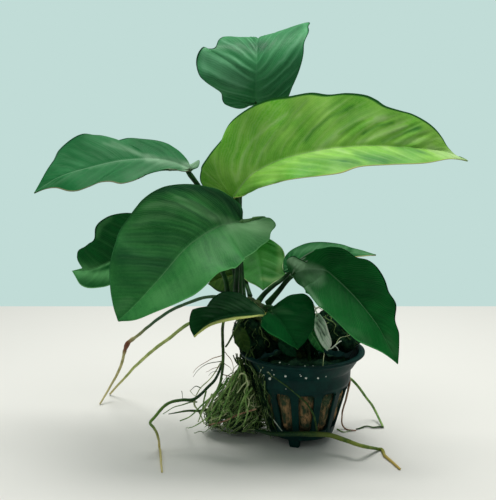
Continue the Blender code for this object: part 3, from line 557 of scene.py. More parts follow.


# Each leaf's strokes paint sheen and shade onto its blade.
LEAVES = [
    Leaf(
        "top_leaf",
        midrib=(
            (256, 103, 20), (256, 85, 17), (256.5, 62, 18), (257, 46, 25), (258, 39, 38), (260, 40, 55),
            (264, 48, 68),
        ),
        facing=((0.0, -1.0, 0.15), (0.1, -0.1, 1.0)),
        left=(
            (-0.04, 0.25), (-0.02, 0.48), (0.01, 0.55), (0.06, 0.57), (0.09, 0.67), (0.13, 0.83),
            (0.17, 0.93), (0.24, 0.98), (0.31, 0.96), (0.37, 0.88), (0.355, 0.79), (0.37, 0.68),
            (0.47, 0.645), (0.58, 0.58), (0.7, 0.47), (0.8, 0.35), (0.92, 0.16),
        ),
        right=(
            (-0.04, 0.25), (-0.02, 0.45), (0.05, 0.54), (0.12, 0.645), (0.19, 0.75), (0.25, 0.82),
            (0.3, 0.835), (0.36, 0.91), (0.42, 0.9), (0.48, 0.93), (0.57, 0.87), (0.68, 0.75), (0.8, 0.5),
            (0.92, 0.2),
        ),
        flat_width=(26.4, 26.0), fold=(-4, 25),
        stalk=(
            (243, 297, 5), (241, 272, 9), (239.5, 225, 15), (241, 180, 20), (249, 145, 22), (255, 122, 22),
        ),
        flow=(
            (
                ((256, 102), (222, 93)), ((256, 97), (208, 81)), ((256, 90), (200, 64)),
                ((256, 82), (202, 51)), ((256, 74), (211, 48)), ((256.4, 66), (217, 40)),
                ((256.6, 58), (228, 38)), ((257, 50), (240, 39)), ((257.4, 43), (250, 40)),
            ),
            (
                ((256, 103), (296, 79)), ((256, 98), (301, 63)), ((256, 91), (305, 46)),
                ((256.4, 83), (308, 32)), ((256.6, 74), (307, 22)), ((256.7, 65), (297, 25)),
                ((257, 55), (284, 31)), ((257.4, 45), (270, 36)),
            ),
        ),
        veins=20.0, bulge=(0.4, 0.3), contrast=(0.75, 0.6), ripple=(1.0, 4.5, 0.1),
        strokes=(
            (((215, 44), (240, 46), (262, 46)), 7, -0.7), (((262, 47), (285, 37), (300, 27)), 6, -0.4),
            (((204, 52), (203, 62), (206, 74)), 3, 0.2), (((270, 92), (290, 82), (300, 55)), 12, -0.35),
            (((238, 97), (250, 90)), 7, -0.15), (((303, 22), (306, 30)), 2.5, 0.4),
            (((212, 60), (228, 72), (240, 84)), 13, 0.3),
        ),
    ),
    Leaf(
        "bright_leaf", slot="bright_leaf",
        midrib=(
            (233, 197, -3), (250, 176, -4), (275, 162, -6), (302, 154, -9), (335, 148, -12),
            (374, 146, -14), (412, 148, -15), (445, 152, -14), (468, 161, -12),
        ),
        facing=((0.0, -0.8, 0.6), (0.0, -0.77, 0.64)),
        left=(
            (220, 195), (207, 190), (200, 180), (201, 168), (209, 155), (222, 139), (231, 122), (249, 108),
            (270, 99), (290, 96), (311, 92.5), (329, 94.5), (347, 93), (365, 95), (376, 99.5), (386, 106),
            (400, 110.5), (412, 114), (424, 120), (434, 127.5), (442, 137), (448, 147), (456, 155),
        ),
        right=(
            (245, 195), (263, 187), (281, 182), (302, 178), (320, 176), (341, 173), (360, 167), (391, 165),
            (427, 163), (452, 159),
        ),
        fold=(20, 20), stalk=((239, 296, -1), (239, 262, -1), (239, 225, -2), (237.5, 205, -3)),
        stalk_radius=1.5,
        flow=(
            (
                ((233, 197), (231, 122)), ((245, 182), (270, 99)), ((262, 169), (311, 93)),
                ((290, 157), (350, 93)), ((318, 149), (375, 99)), ((345, 146), (400, 111)),
                ((372, 145), (422, 119)), ((400, 146), (436, 128)), ((425, 148.5), (446, 142)),
                ((445, 151), (455, 152)),
            ),
            (
                ((233, 197), (263, 187)), ((245, 182), (302, 178)), ((262, 169), (330, 174)),
                ((290, 157), (355, 169)), ((320, 149), (384, 165)), ((350, 146), (405, 164)),
                ((386, 146), (425, 162.5)), ((415, 148), (445, 160)),
            ),
        ),
        veins=15.0, bulge=(0.4, 0.2), contrast=(0.5, 0.4), ripple=(1.1, 6.5, 0.3),
        strokes=(
            (((306, 141), (314, 130), (330, 117), (352, 107)), 2.2, -0.7),
            (((340, 134), (356, 124), (372, 119)), 1.8, -0.5),
            (((363, 134), (378, 126), (392, 123)), 1.8, -0.7),
            (((383, 142), (401, 134), (420, 128)), 2.2, -0.6),
            (((284, 130), (296, 113), (307, 100)), 2.4, -0.35),
            (((252, 168), (258, 150), (270, 132)), 2.4, -0.25),
            (((268, 150), (280, 128), (294, 108)), 1.6, -0.25),
            (((250, 190), (300, 174), (350, 163), (400, 159), (436, 158)), 9, -0.55),
            (((350, 163), (400, 157), (445, 157)), 6, -0.18),
            (((237, 180), (243, 156), (253, 140), (268, 127), (288, 114)), 2, 0.35),
            (((250, 176), (262, 152), (277, 132), (300, 114)), 2, 0.3),
            (((318, 150), (340, 131), (358, 122), (384, 118)), 3, 0.35),
            (((358, 143), (384, 134), (408, 126)), 2, 0.35), (((396, 144), (430, 138), (440, 140)), 3, 0.3),
            (((300, 160), (318, 160), (345, 162)), 2.2, -0.35),
            (((354, 154), (368, 158), (386, 163)), 2.6, -0.3),
            (((392, 147), (410, 150), (432, 155)), 2.2, -0.35),
            (((240, 192), (275, 178), (320, 170)), 3, 0.3), (((262, 172), (300, 158), (334, 150)), 3, 0.15),
            (((338, 150), (352, 156), (366, 164)), 2.5, 0.4),
            (((385, 149), (405, 158), (440, 157)), 4, 0.35), (((432, 151), (452, 156), (468, 161)), 7, 0.8),
            (((205, 172), (225, 150), (250, 125)), 14, -0.2),
            (((330, 112), (370, 116), (400, 126)), 10, 0.12),
            (((410, 126), (432, 138), (444, 148)), 5, -0.3),
        ),
    ),
    Leaf(
        "left_leaf",
        midrib=(
            (190, 169, 2), (172, 162, 1), (151, 159, 0), (120, 161, -2), (89, 168, -5), (60, 177, -8),
            (34, 193, -11),
        ),
        facing=((0.0, -0.6, 0.8), (0.0, -0.6, 0.8)),
        left=(
            (184, 171), (169, 169), (156, 172), (143, 176), (133, 181), (121, 184), (110, 182), (99, 183),
            (89, 187), (77, 191), (67, 191), (56, 188), (46, 189),
        ),
        right=(
            (198, 167), (199, 160), (190, 164), (186, 158), (172, 146), (159, 141), (143, 139), (128, 138),
            (113, 141), (104, 136), (94, 135), (83, 134), (72, 139), (59, 150), (53, 161), (43, 177),
        ),
        fold=(3, 3), stalk=((236, 299, 3), (235, 270, 5), (228, 232, 5), (208, 200, 4), (198, 185, 3)),
        flow=(
            (
                ((190, 169), (160, 171)), ((176, 163.5), (140, 178)), ((160, 160), (121, 184)),
                ((140, 160), (100, 183)), ((120, 161), (85, 188)), ((100, 165), (66, 191)),
                ((75, 172), (50, 188)),
            ),
            (
                ((190, 169), (172, 146)), ((176, 163.5), (143, 139)), ((160, 160), (120, 140)),
                ((145, 159.5), (104, 136)), ((125, 161), (83, 134)), ((105, 164), (66, 144)),
                ((80, 171), (50, 166)), ((60, 177), (41, 180)),
            ),
        ),
        veins=11.0, bulge=(0.15, 0.2), contrast=(0.15, 0.2), ripple=(0.9, 3.0, 0.6),
        strokes=(
            (((186, 166), (165, 162), (148, 159)), 4, 0.55),
            (((158, 160), (135, 152), (112, 143)), 1.8, 0.3),
            (((146, 158), (124, 150), (104, 144)), 1.6, 0.25),
            (((160, 166), (142, 172), (130, 177)), 5, 0.12), (((124, 180), (108, 181)), 4, 0.08),
            (((150, 160), (120, 162), (90, 169)), 1.4, 0.15), (((80, 171), (60, 182), (44, 187)), 2.5, 0.1),
            (((186, 168), (194, 165), (199, 161)), 4, 1.0), (((160, 150), (140, 146)), 5, -0.25),
        ),
    ),
    Leaf(
        "centre_leaf",
        midrib=(
            (241, 221, -12), (222, 225, -14), (203, 235, -18), (184, 250, -22), (160, 278, -29),
            (138, 302, -35), (118, 321, -40),
        ),
        facing=((-0.3, -0.9, 0.3), (-0.3, -0.9, 0.3)),
        left=(
            (244, 223), (249, 222), (255, 220), (262, 218), (270, 218), (276, 225), (271, 232), (269, 240),
            (261, 246), (250, 255), (239, 265), (230, 269), (216, 275), (201, 290), (182, 301), (153, 313),
            (134, 320),
        ),
        right=(
            (243, 212), (239, 203), (228, 195), (214, 188), (191, 184), (172, 185), (156, 190), (143, 199),
            (136, 207), (128, 218), (118, 234), (110, 263), (110, 286), (113, 305),
        ),
        fold=(22, 22), stalk=((235, 302, -5), (236.5, 285, -8), (238.5, 255, -10), (241, 235, -11)),
        flow=(
            (
                ((241, 221), (276, 224)), ((232, 223), (262, 245)), ((215, 229), (239, 264)),
                ((200, 238), (216, 275)), ((185, 250), (200, 290)), ((168, 269), (182, 301)),
                ((150, 290), (160, 310)), ((130, 310), (134, 320)),
            ),
            (
                ((241, 221), (214, 188)), ((232, 223), (191, 184)), ((222, 225), (165, 187)),
                ((212, 230), (140, 201)), ((203, 235), (127, 220)), ((193, 242), (118, 234)),
                ((180, 254), (113, 250)), ((165, 272), (110, 270)), ((145, 295), (111, 295)),
            ),
        ),
        veins=19.0, bulge=(0.05, 0.3), contrast=(0.08, 0.8), fading=0.85, ripple=(0.6, 3.0, 0.2),
        strokes=(
            (((130, 208), (146, 194), (172, 186), (205, 189), (228, 200), (241, 214)), 6, -0.95),
            (((132, 228), (150, 218), (172, 214)), 5, 0.14),
            (((140, 207), (165, 203), (188, 207), (214, 218)), 3.5, 0.3),
            (((175, 197), (192, 202), (208, 211)), 2, 0.3), (((212, 216), (228, 221)), 4, 0.35),
            (((232, 226), (252, 224), (270, 226)), 7, 0.5), (((256, 224), (272, 229)), 8, 0.35),
            (((200, 250), (228, 244), (256, 236)), 13, 0.14),
            (((160, 296), (190, 278), (215, 262)), 11, 0.08),
            (((120, 256), (148, 263), (166, 264)), 10, -0.7),
            (((128, 236), (165, 240), (185, 240)), 7, -0.4), (((118, 310), (128, 300)), 6, 0.1),
            (((124, 282), (140, 284), (156, 276)), 9, -0.3),
        ),
    ),
    Leaf(
        "far_left_leaf",
        midrib=((160, 238, 13), (136, 250, 15), (112, 261, 18), (92, 269.5, 20), (72, 271, 22)),
        facing=((-0.13, -0.86, 0.5), (-0.13, -0.86, 0.5)),
        left=((156, 250), (142, 266), (124, 280), (108, 286), (97, 288), (87, 288), (80, 284.5), (76, 278)),
        right=(
            (158, 226), (146, 217), (130, 213), (116, 214), (105, 218), (96, 226), (94, 239), (88, 244),
            (80, 249), (77, 256), (79, 263), (84, 267),
        ),
        fold=(25, 25), stalk=((229, 303, 5), (224, 275, 6), (205, 245, 9), (180, 234, 12)),
        stalk_radius=1.0, slant=(0.8, 0.8), veins=7.0, bulge=(0.2, 0.3), contrast=(0.3, 0.4),
        strokes=(
            (((118, 274), (98, 274), (80, 271)), 7, 1.0), (((118, 266), (94, 272)), 2.5, -0.5),
            (((91, 270), (100, 267.5), (110, 263)), 1.3, 1.0),
            (((110, 218), (100, 226), (97, 236)), 2.5, 0.35),
        ),
        rows=180, columns=18,
    ),
    Leaf(
        "small_bright_leaf", slot="bright_leaf",
        midrib=((256, 240, 32), (258, 255, 28), (261, 274, 20), (263, 290, 12)),
        facing=((0.0, -0.9, 0.4), (0.0, -0.8, 0.6)),
        left=(
            (262, 238), (270, 239), (280, 246), (284, 252), (285, 259), (283, 268), (286, 276), (275, 282),
            (268, 287),
        ),
        right=((250, 238), (245, 243), (241, 252), (240, 264), (242, 275), (247, 281), (255, 285)),
        fold=(8, 8), stalk=((250, 296, 9), (246, 278, 20), (250, 254, 31)), stalk_radius=0.9, veins=6.0,
        bulge=(0.12, 0.12), contrast=(0.05, 0.05),
        strokes=(
            (((280, 248), (281, 262), (279, 272)), 3, 0.3), (((246, 246), (252, 262)), 4, -0.3),
            (((262, 279), (272, 281), (284, 277)), 2, 0.4), (((262, 256), (270, 266)), 7, 0.06),
        ),
        rows=180, columns=18,
    ),
    Leaf(
        "right_back_leaf",
        midrib=((290, 268, 8), (305, 261, 9), (325, 256, 10), (350, 253, 11), (376, 255, 12)),
        facing=((0.0, -0.35, 0.94), (0.0, -0.35, 0.94)),
        left=(
            (286, 274), (283, 266), (284, 259), (288, 253), (297, 247), (308, 243), (320, 242), (332, 243),
            (343, 245), (352, 248), (364, 251),
        ),
        right=((293, 273), (300, 270), (315, 264), (335, 260), (356, 257)), fold=(6, 6),
        stalk=((259, 301, 3), (265, 293.5, 4), (274, 285.5, 5), (283, 279, 7)), stalk_radius=1.1,
        slant=(1.0, 1.2), veins=8.0, bulge=(0.2, 0.15), contrast=(0.3, 0.2),
        strokes=(
            (((296, 252), (320, 247), (345, 249)), 3.5, 0.35), (((355, 252), (372, 255)), 3, 0.5),
            (((286, 258), (288, 268)), 3, -0.3),
        ),
        rows=180, columns=18,
    ),
    Leaf(
        "right_front_leaf",
        midrib=(
            (292, 274, -6), (306, 269, -7), (324, 270, -9), (334, 277, -12), (347, 289, -17),
            (360, 303, -23), (377, 325, -31), (388, 345, -36), (398, 364, -40),
        ),
        facing=((0.1, -0.95, 0.35), (0.05, -0.95, 0.35)),
        left=(
            (288, 268), (287, 260), (293, 256), (300, 259), (307, 262), (310, 256), (316, 250), (325, 248),
            (336, 248), (346, 250), (356, 257), (368, 260), (377, 267), (385, 280), (389, 292), (396, 304),
            (395, 320), (399, 334), (399, 350),
        ),
        right=(
            (295, 279), (301, 286), (308, 294), (315, 302), (324, 310), (333, 318), (341, 326), (350, 335),
            (359, 342), (377, 350), (386, 355),
        ),
        fold=(26, 26), stalk=((268, 304, -4), (279, 291, -5), (287, 281, -6)), stalk_radius=1.3,
        flow=(
            (
                ((292, 274), (325, 248)), ((306, 269), (345, 250)), ((318, 269), (362, 258)),
                ((330, 274), (378, 270)), ((342, 284), (388, 290)), ((354, 296), (396, 305)),
                ((368, 313), (398, 330)), ((382, 333), (399, 348)),
            ),
            (
                ((292, 274), (300, 285)), ((306, 269), (312, 299)), ((318, 269), (326, 312)),
                ((332, 276), (341, 326)), ((347, 289), (357, 341)), ((362, 306), (377, 350)),
                ((380, 330), (390, 357)),
            ),
        ),
        veins=11.0, bulge=(0.2, 0.2), contrast=(0.12, 0.1), ripple=(0.6, 4.0, 0.4),
        strokes=(
            (((289, 258), (295, 262), (301, 265)), 4.0, 1.2),
            (((318, 296), (340, 320), (366, 342)), 5, 0.06),
            (((335, 256), (362, 270), (378, 292)), 12, -0.35), (((328, 297), (350, 318)), 8, -0.15),
            (((300, 267), (311, 268), (321, 271)), 4.5, 0.5),
            (((299, 275), (309, 278), (318, 281)), 6.5, 0.3),
            (((304, 284), (312, 295), (320, 306)), 2.2, 0.3), (((388, 338), (395, 352)), 5, 0.06),
        ),
    ),
    Leaf(
        "lower_left_leaf",
        midrib=((266, 315, -14), (250, 314, -17), (228, 316, -20), (208, 323, -22), (194, 337, -23)),
        facing=((0.0, -0.3, 0.95), (-0.35, -0.35, 0.87)),
        left=((0.04, 0.1), (0.12, 0.4), (0.25, 0.75), (0.45, 1.0), (0.65, 0.9), (0.85, 0.5)),
        right=(
            (262, 309), (255, 304), (249, 300), (239, 293), (223, 292), (212, 299), (206, 307), (202, 307),
            (197, 304), (190, 316), (190, 328),
        ),
        flat_width=(13.0, 0.0), fold=(24, 24), stalk=((252, 309, -7), (259, 312, -10)), stalk_radius=1.1,
        slant=(0.8, 1.2), veins=8.0, bulge=(0.1, 0.25), contrast=(0.1, 0.3),
        strokes=(
            (((255, 309), (264, 312)), 3.5, 0.5), (((225, 308), (245, 304)), 4, 0.12),
            (((200, 315), (205, 325)), 5, -0.2),
        ),
        rows=180, columns=18,
    ),
    Leaf(
        "lower_front_leaf", midrib=((270, 312, -17), (279, 320, -21), (289, 334, -26), (298, 349, -30)),
        facing=((0.45, -0.8, 0.37), (0.45, -0.8, 0.37)),
        left=(
            (270, 308), (275, 305), (280, 301), (286, 297), (296, 294), (305, 294), (312, 300), (315, 308),
            (315, 316), (314, 327), (310, 334), (305, 342),
        ),
        right=((267, 315), (263, 320), (261, 327), (270, 334), (280, 339), (290, 345)), fold=(30, 30),
        stalk=((266, 308, -6), (272, 308, -12)), stalk_radius=1.1, slant=(0.9, 0.9), veins=7.0,
        bulge=(0.12, 0.1), contrast=(0.2, 0.08),
        strokes=((((270, 311), (283, 311), (295, 314)), 3.0, 0.2), (((300, 318), (310, 330)), 9, -0.3)),
        rows=180, columns=18,
    ),
    Leaf(
        "young_folded_leaf", slot="young_leaf",
        midrib=((316, 313, -8), (320, 326, -11), (324, 340, -14), (327, 351, -16)),
        facing=((-0.4, -0.9, 0.2), (-0.4, -0.9, 0.2)),
        left=((320, 315), (325, 321), (328, 330), (331, 340), (331, 346)),
        right=((314, 318), (314, 328), (316, 336), (321, 345)), fold=(25, 25),
        stalk=((317, 368, 0), (316, 340, -2), (315, 322, -4)), stalk_radius=0.8, slant=(2.0, 2.0),
        veins=7.0, bulge=(0.15, 0.1), contrast=(0.35, 0.35), ripple=(0.2, 2.0, 0.0),
        strokes=(
            (((316, 323), (320, 327), (325, 335)), 1.5, -1.0),
            (((317, 328), (320, 333), (323, 341)), 0.9, -0.8),
            (((318, 319), (325, 326), (328, 337)), 0.9, -0.7), (((318, 315), (322, 320)), 2.6, -0.6),
            (((315, 329), (319, 337), (325, 346)), 1.4, 0.6), (((328, 336), (329, 345)), 1.4, 0.5),
        ),
        rows=120, columns=12,
    ),
    Leaf(
        "young_dark_leaf", slot="young_leaf",
        midrib=((309, 329, -3), (314, 337, -6), (319, 345, -9), (324, 353, -11)),
        facing=((0.2, -0.9, 0.4), (0.2, -0.9, 0.4)), left=((313, 330), (318, 337), (323, 346)),
        right=((307, 334), (310, 342), (317, 350)), fold=(15, 15),
        stalk=((310, 372, -6), (309, 350, -5), (308, 336, -2)), stalk_radius=0.7, veins=5.0,
        bulge=(0.12, 0.12), ripple=(0.2, 2.0, 0.0), rows=120, columns=12,
    ),
    Leaf(
        "shaded_leaf", slot="shaded_leaf",
        midrib=((240, 274, 17), (230, 276, 18), (219, 279, 18), (208, 284, 18)),
        facing=((0.0, -0.8, 0.6), (0.0, -0.8, 0.6)), left=((241, 285), (234, 294), (220, 292)),
        right=((238, 266), (229, 264), (219, 270)), fold=(10, 10), stalk=((238, 299, 9), (237, 286, 15)),
        stalk_radius=0.8, veins=5.0, bulge=(0.15, 0.15), ripple=(0.2, 2.0, 0.0), rows=120, columns=12,
    ),
    Leaf(
        "rim_leaf", slot="shaded_leaf",
        midrib=((240, 327, -3), (241, 336, -8), (244, 345, -11), (248, 354, -13)),
        facing=((-0.3, -0.9, 0.3), (-0.3, -0.9, 0.3)), left=((245, 329), (249, 336), (251, 345)),
        right=((235, 330), (234, 339), (239, 348)), fold=(15, 15),
        stalk=((247, 313, -5), (241, 316, -3), (239, 321, 0)), stalk_radius=0.7, veins=5.0,
        bulge=(0.12, 0.12), ripple=(0.2, 2.0, 0.0), rows=120, columns=12,
    ),
    Leaf(
        "mouth_leaf", slot="shaded_leaf",
        midrib=((279, 340, -9), (284, 346, -12), (290, 352, -15), (296, 357, -17)),
        facing=((-0.3, -0.9, 0.35), (-0.3, -0.9, 0.35)), left=((284, 340), (291, 345), (296, 351)),
        right=((278, 345), (281, 351), (288, 356)), fold=(12, 12), stalk=((285, 336, -6.6), (281, 337, -8)),
        stalk_radius=0.6, veins=5.0, bulge=(0.12, 0.12), ripple=(0.2, 2.0, 0.0), rows=100, columns=10,
    ),
]
for place, leaf in enumerate(LEAVES, 1):
    leaf.seed = float(place)


def wall_radius(z):
    (top_r, top_z), (foot_r, foot_z) = POT_WALL_TOP, POT_WALL_FOOT
    return foot_r + (top_r - foot_r) * (z - foot_z) / (top_z - foot_z)


def pot_outside(z):
    outline = [*POT_COLLAR, POT_WALL_TOP, POT_WALL_FOOT]
    radii, heights = zip(*reversed(outline))
    return np.interp(z, heights, radii)


def pot_profiles():
    """Outside from the lip down to the floor, and inside from the floor up, as lists of (radius, height)."""
    heights = np.linspace(SLOT_Z[1], SLOT_Z[0], WALL_ROWS)
    outer = [(POT_FLANGE_R - inward, POT_RIM_Z - down) for inward, down in POT_LIP]
    outer += [*COLLAR_OUTSIDE, *((wall_radius(z), z) for z in heights)]
    outer += [(wall_radius(5.2), 5.2), (wall_radius(3.9) - 0.1, 3.9), *FLOOR_UNDERSIDE]
    inner = [(3.0, POT_FLOOR_Z), (8.0, POT_FLOOR_Z), (wall_radius(POT_FLOOR_Z) - POT_WALL - 0.3, POT_FLOOR_Z)]
    inner += [*((wall_radius(z) - POT_WALL, z) for z in heights[::-1]), *COLLAR_INSIDE]
    return outer, inner


POT_OUTER, POT_INNER = pot_profiles()
POT_ROWS = len(POT_OUTER) + len(POT_INNER)
POT_STEPS = SLOT_COUNT * SLOT_STEPS
# Rows of the outside and the inside that a slot starts and ends at.
OUTER_TOP = len(POT_LIP) + len(COLLAR_OUTSIDE)
OUTER_BOTTOM = OUTER_TOP + WALL_ROWS - 1
INNER_BOTTOM = len(POT_OUTER) + 3
INNER_TOP = INNER_BOTTOM + WALL_ROWS - 1


def slot_arch(within):
    """How far a slot's rounded corners close it, at its top and at its foot, at a step from its start."""
    edge = min(within, SLOT_OPEN - within) / SLOT_OPEN
    edge = edge * 2 * math.pi * WALL_MIDDLE_R / SLOT_COUNT * SLOT_SHARE
    if not 0 <= edge < SLOT_CORNER:
        return 0.0
    return SLOT_CORNER - math.sqrt(SLOT_CORNER**2 - (SLOT_CORNER - edge) ** 2)


def pot_points():
    """The turned wall, rounded at the slots' corners and thinly ribbed inside the collar, and two middles."""
    points = np.zeros((POT_STEPS, POT_ROWS, 3))
    for step, angle in enumerate(SLOT_START + turns_round(POT_STEPS)):
        arch = slot_arch(step % SLOT_STEPS)
        rib = RIB_DEPTH * max(0.0, math.cos(angle * RIB_COUNT)) ** 6
        for row, (radius, z) in enumerate(POT_OUTER + POT_INNER):
            if row in (OUTER_TOP, INNER_TOP):
                z -= arch
            if row in (OUTER_BOTTOM, INNER_BOTTOM):
                z += arch
            if INNER_TOP < row < POT_ROWS - 2:
                radius -= rib
            points[step, row] = round_axis(radius, angle, z)
    return np.vstack([points.reshape(-1, 3), [(0, 0, POT_WALL_FOOT[1]), (0, 0, POT_FLOOR_Z)]])


def pot_faces():
    """The wall and the floor, with the slots left out and their sides closed."""
    below, above = POT_STEPS * POT_ROWS, POT_STEPS * POT_ROWS + 1

    def at(step, row):
        return (step % POT_STEPS) * POT_ROWS + row % POT_ROWS

    faces = []
    for step in range(POT_STEPS):
        open_here = step % SLOT_STEPS < SLOT_OPEN
        for row in range(POT_ROWS):
            in_slot = OUTER_TOP <= row < OUTER_BOTTOM or INNER_BOTTOM <= row < INNER_TOP
            if row == len(POT_OUTER) - 1:
                faces.append((at(step, row), below, at(step + 1, row)))
                faces.append((at(step, row + 1), at(step + 1, row + 1), above))
            elif not (open_here and in_slot):
                faces.append((at(step, row), at(step, row + 1), at(step + 1, row + 1), at(step + 1, row)))
        if open_here:
            for row, far in ((OUTER_TOP, INNER_TOP), (OUTER_BOTTOM, INNER_BOTTOM)):
                corners = (at(step, row), at(step + 1, row), at(step + 1, far), at(step, far))
                faces.append(corners if row == OUTER_TOP else corners[::-1])
        if open_here != ((step - 1) % SLOT_STEPS < SLOT_OPEN):
            for k in range(WALL_ROWS - 1):
                around = (OUTER_TOP + k, OUTER_TOP + k + 1, INNER_TOP - k - 1, INNER_TOP - k)
                corners = tuple(at(step, row) for row in around)
                faces.append(corners if open_here else corners[::-1])
    return faces


def foot_shape(angle):
    """A foot: a small tapered block with rounded corners."""
    width, depth = FOOT_SIZE
    out = np.array([math.cos(angle), math.sin(angle), 0.0])
    across = np.array([-out[1], out[0], 0.0])
    points = []
    for z, share in FOOT_RINGS:
        for turn in turns_round(FOOT_SIDES):
            c, s = math.cos(turn), math.sin(turn)
            blunt = (abs(c) ** 6 + abs(s) ** 6) ** (-1 / 6)
            sideways = out * c * blunt * depth * share / 2 + across * s * blunt * width * share / 2
            points.append(out * FOOT_RADIUS + sideways + [0, 0, z])
    return np.array(points), capped_rings(len(FOOT_RINGS), FOOT_SIDES)


def add_pot(looks):
    parts = [(pot_points(), pot_faces())] + [foot_shape(math.radians(angle)) for angle in FOOT_ANGLES]
    pot = add_piece("net_pot_moulding", *joined(parts), "pot", looks["pot"], ("net_pot",))
    bevel = pot.modifiers.new("edges", "BEVEL")
    bevel.width = POT_EDGE * MM
    bevel.segments = 1
    bevel.limit_method = "ANGLE"
    bevel.angle_limit = POT_EDGE_ANGLE


# White grains on the collar: how far right and down each is seen, and its radius.
GRAINS = (
    (270, 378.5, 0.62), (274, 374.5, 0.3), (285.6, 376, 0.5), (280, 362.5, 0.35), (305, 366.5, 0.42),
    (301, 376, 0.3), (306, 378, 0.48), (318, 378, 0.42), (326, 376.5, 0.25), (350, 363, 0.25),
    (313, 366, 0.22), (272, 370, 0.22), (300, 374.5, 0.22), (264, 375, 0.3), (319, 367.3, 0.14),
    (323.5, 367.4, 0.16), (328, 367.2, 0.14), (331, 367, 0.12), (335, 366.8, 0.15), (292, 371, 0.12),
    (286, 389, 0.2), (268, 372.5, 0.16), (276, 368, 0.13), (289, 364.5, 0.14),
)


def add_grains(looks):
    rings, sides, parts = 6, 10, []
    for number, (right, down, radius) in enumerate(GRAINS):
        centre = seen_on_pot(right, down, radius * 0.3)
        points = []
        for ring in range(1, rings):
            for side in range(sides):
                out = np.array(way(math.pi * ring / rings, 2 * math.pi * side / sides))
                lump = 1 + 0.35 * noise.noise(Vector(out * 1.7) + Vector((number * 3.0, 0, 0)))
                points.append(centre + out * radius * lump)
        points += [centre + [0, 0, radius], centre - [0, 0, radius]]
        faces, last = ring_faces(rings - 1, sides, from_top=True), (rings - 2) * sides
        for side in range(sides):
            after = (side + 1) % sides
            faces += [(len(points) - 2, side, after), (len(points) - 1, last + after, last + side)]
        parts.append((np.array(points), faces))
    add_piece("white_grains", *joined(parts), "mineral_wool", looks["grains"])


def add_wool(looks):
    """The plug of mineral wool: lumpy fibres behind the slots and a rough top."""
    floor, inset = POT_FLOOR_Z + WOOL_GAP, POT_WALL + WOOL_GAP
    levels = np.linspace(floor, WOOL_TOP - 1.2, WOOL_LEVELS)
    profile = [(r, floor) for r in np.linspace(1.0, wall_radius(floor) - inset - 0.6, 8)]
    profile += [(wall_radius(z) - inset, z) for z in levels[1:]]
    profile += [(wall_radius(WOOL_TOP) - inset - 0.5, WOOL_TOP - 0.3)]
    profile += [(r, WOOL_TOP + 0.4) for r in np.linspace(wall_radius(WOOL_TOP) - inset - 1.6, 0.8, 22)]
    turns = turns_round(WOOL_STEPS)
    circle = np.column_stack([np.cos(turns), np.sin(turns), np.zeros(WOOL_STEPS)])
    points = np.concatenate([circle * radius + [0, 0, z] for radius, z in profile])
    coarse, fine = spread_noise(points, 3.2, 2.0), spread_noise(points * [1, 1, 2.2], 0.9, 5.0)
    push = 0.75 * coarse + 0.42 * fine
    out = unit(points * [1, 1, 0])
    on_top = points[:, 2] > WOOL_TOP - 0.5
    slot_angle = 2 * math.pi / SLOT_COUNT
    within = (np.arctan2(points[:, 1], points[:, 0]) - SLOT_START) % slot_angle / (slot_angle * SLOT_SHARE)
    across = np.where(within < 1, np.sin(math.pi * np.minimum(within, 1)), 0) ** 0.5
    z = points[:, 2]
    upright = np.clip((z - SLOT_Z[0] - 0.6) / 2, 0, 1) * np.clip((SLOT_Z[1] - 0.6 - z) / 2, 0, 1)
    bulge = (inset - 0.1) * across * upright
    points = points + out * np.where(on_top, 0, 0.6 * push - 0.5 + bulge)[:, None]
    points[:, 2] += np.where(on_top, 1.4 * coarse + 0.5 * fine, 0)
    faces = capped_rings(len(profile), WOOL_STEPS)
    add_piece("mineral_wool_plug", points, faces, "mineral_wool", looks["mineral_wool"], ("mineral_wool",))


@dataclass
class Root:
    name: str
    look: str
    route: tuple  # seen points, and for one on the floor only how far right and down it is seen
    radii: tuple


ROOTS = [
    Root(
        "left_root_upper", "knee_root",
        route=(
            (234, 305, 1), (222, 298, 3), (207, 297, 6), (190, 302, 10), (170, 311, 16), (150, 325, 24),
            (136, 337, 30), (127, 345, 33), (122, 362, 38), (113, 382, 46), (100, 404),
        ),
        radii=(0.72, 0.72, 0.7, 0.74, 0.72, 0.45),
    ),
    Root(
        "left_root_lower", "tan_root",
        route=(
            (228, 312, 6), (208, 317, 10), (188, 324, 15), (171, 337, 22), (150, 353, 32), (131, 371, 45),
            (110, 394),
        ),
        radii=(0.72, 0.74, 0.7, 0.45),
    ),
    Root(
        "hanging_root", "dark_root",
        route=(
            (235, 308, -2), (226, 316, -6), (222.5, 328, -10.5), (223, 342, -13.5), (223.3, 352, -14),
            (222.6, 368, -15), (220.7, 381, -15.5), (218, 388, -16), (213, 399, -16), (208, 407, -16),
        ),
        radii=(0.65, 0.65, 0.7, 0.65, 0.5, 0.3),
    ),
    Root(
        "front_root", "floor_root",
        route=(
            (256, 430, -7), (268, 433, -13), (283, 434, -17.5), (305, 434, -18.5), (328, 435, -19),
            (345, 440, -21), (362, 446, -25), (380, 449.5), (385, 456), (391, 461), (400, 469),
        ),
        radii=(0.7, 1.0, 1.15, 1.1, 0.85, 0.7, 0.6, 0.45),
    ),
    Root(
        "right_root", "green_root",
        route=((337, 388, 13), (343, 379, 15), (351, 379, 16), (366, 397, 18), (375, 410, 21), (383, 427)),
        radii=(0.55, 0.55, 0.45),
    ),
    Root(
        "left_floor_root", "arc_root",
        route=(
            (222.8, 362, -14.5), (216, 378, -13.6), (208.5, 386.5, -13), (195, 398.5, -13), (183, 400, -14),
            (171, 402, -15), (163, 407, -16), (155, 417, -18), (150.5, 423, -20), (154, 428, -21),
            (157.5, 435, -22), (159.5, 449), (162, 472),
        ),
        radii=(0.5, 0.65, 0.6, 0.5, 0.35),
    ),
]
ROOT_KNEE = (127, 345, 33)  # seen point
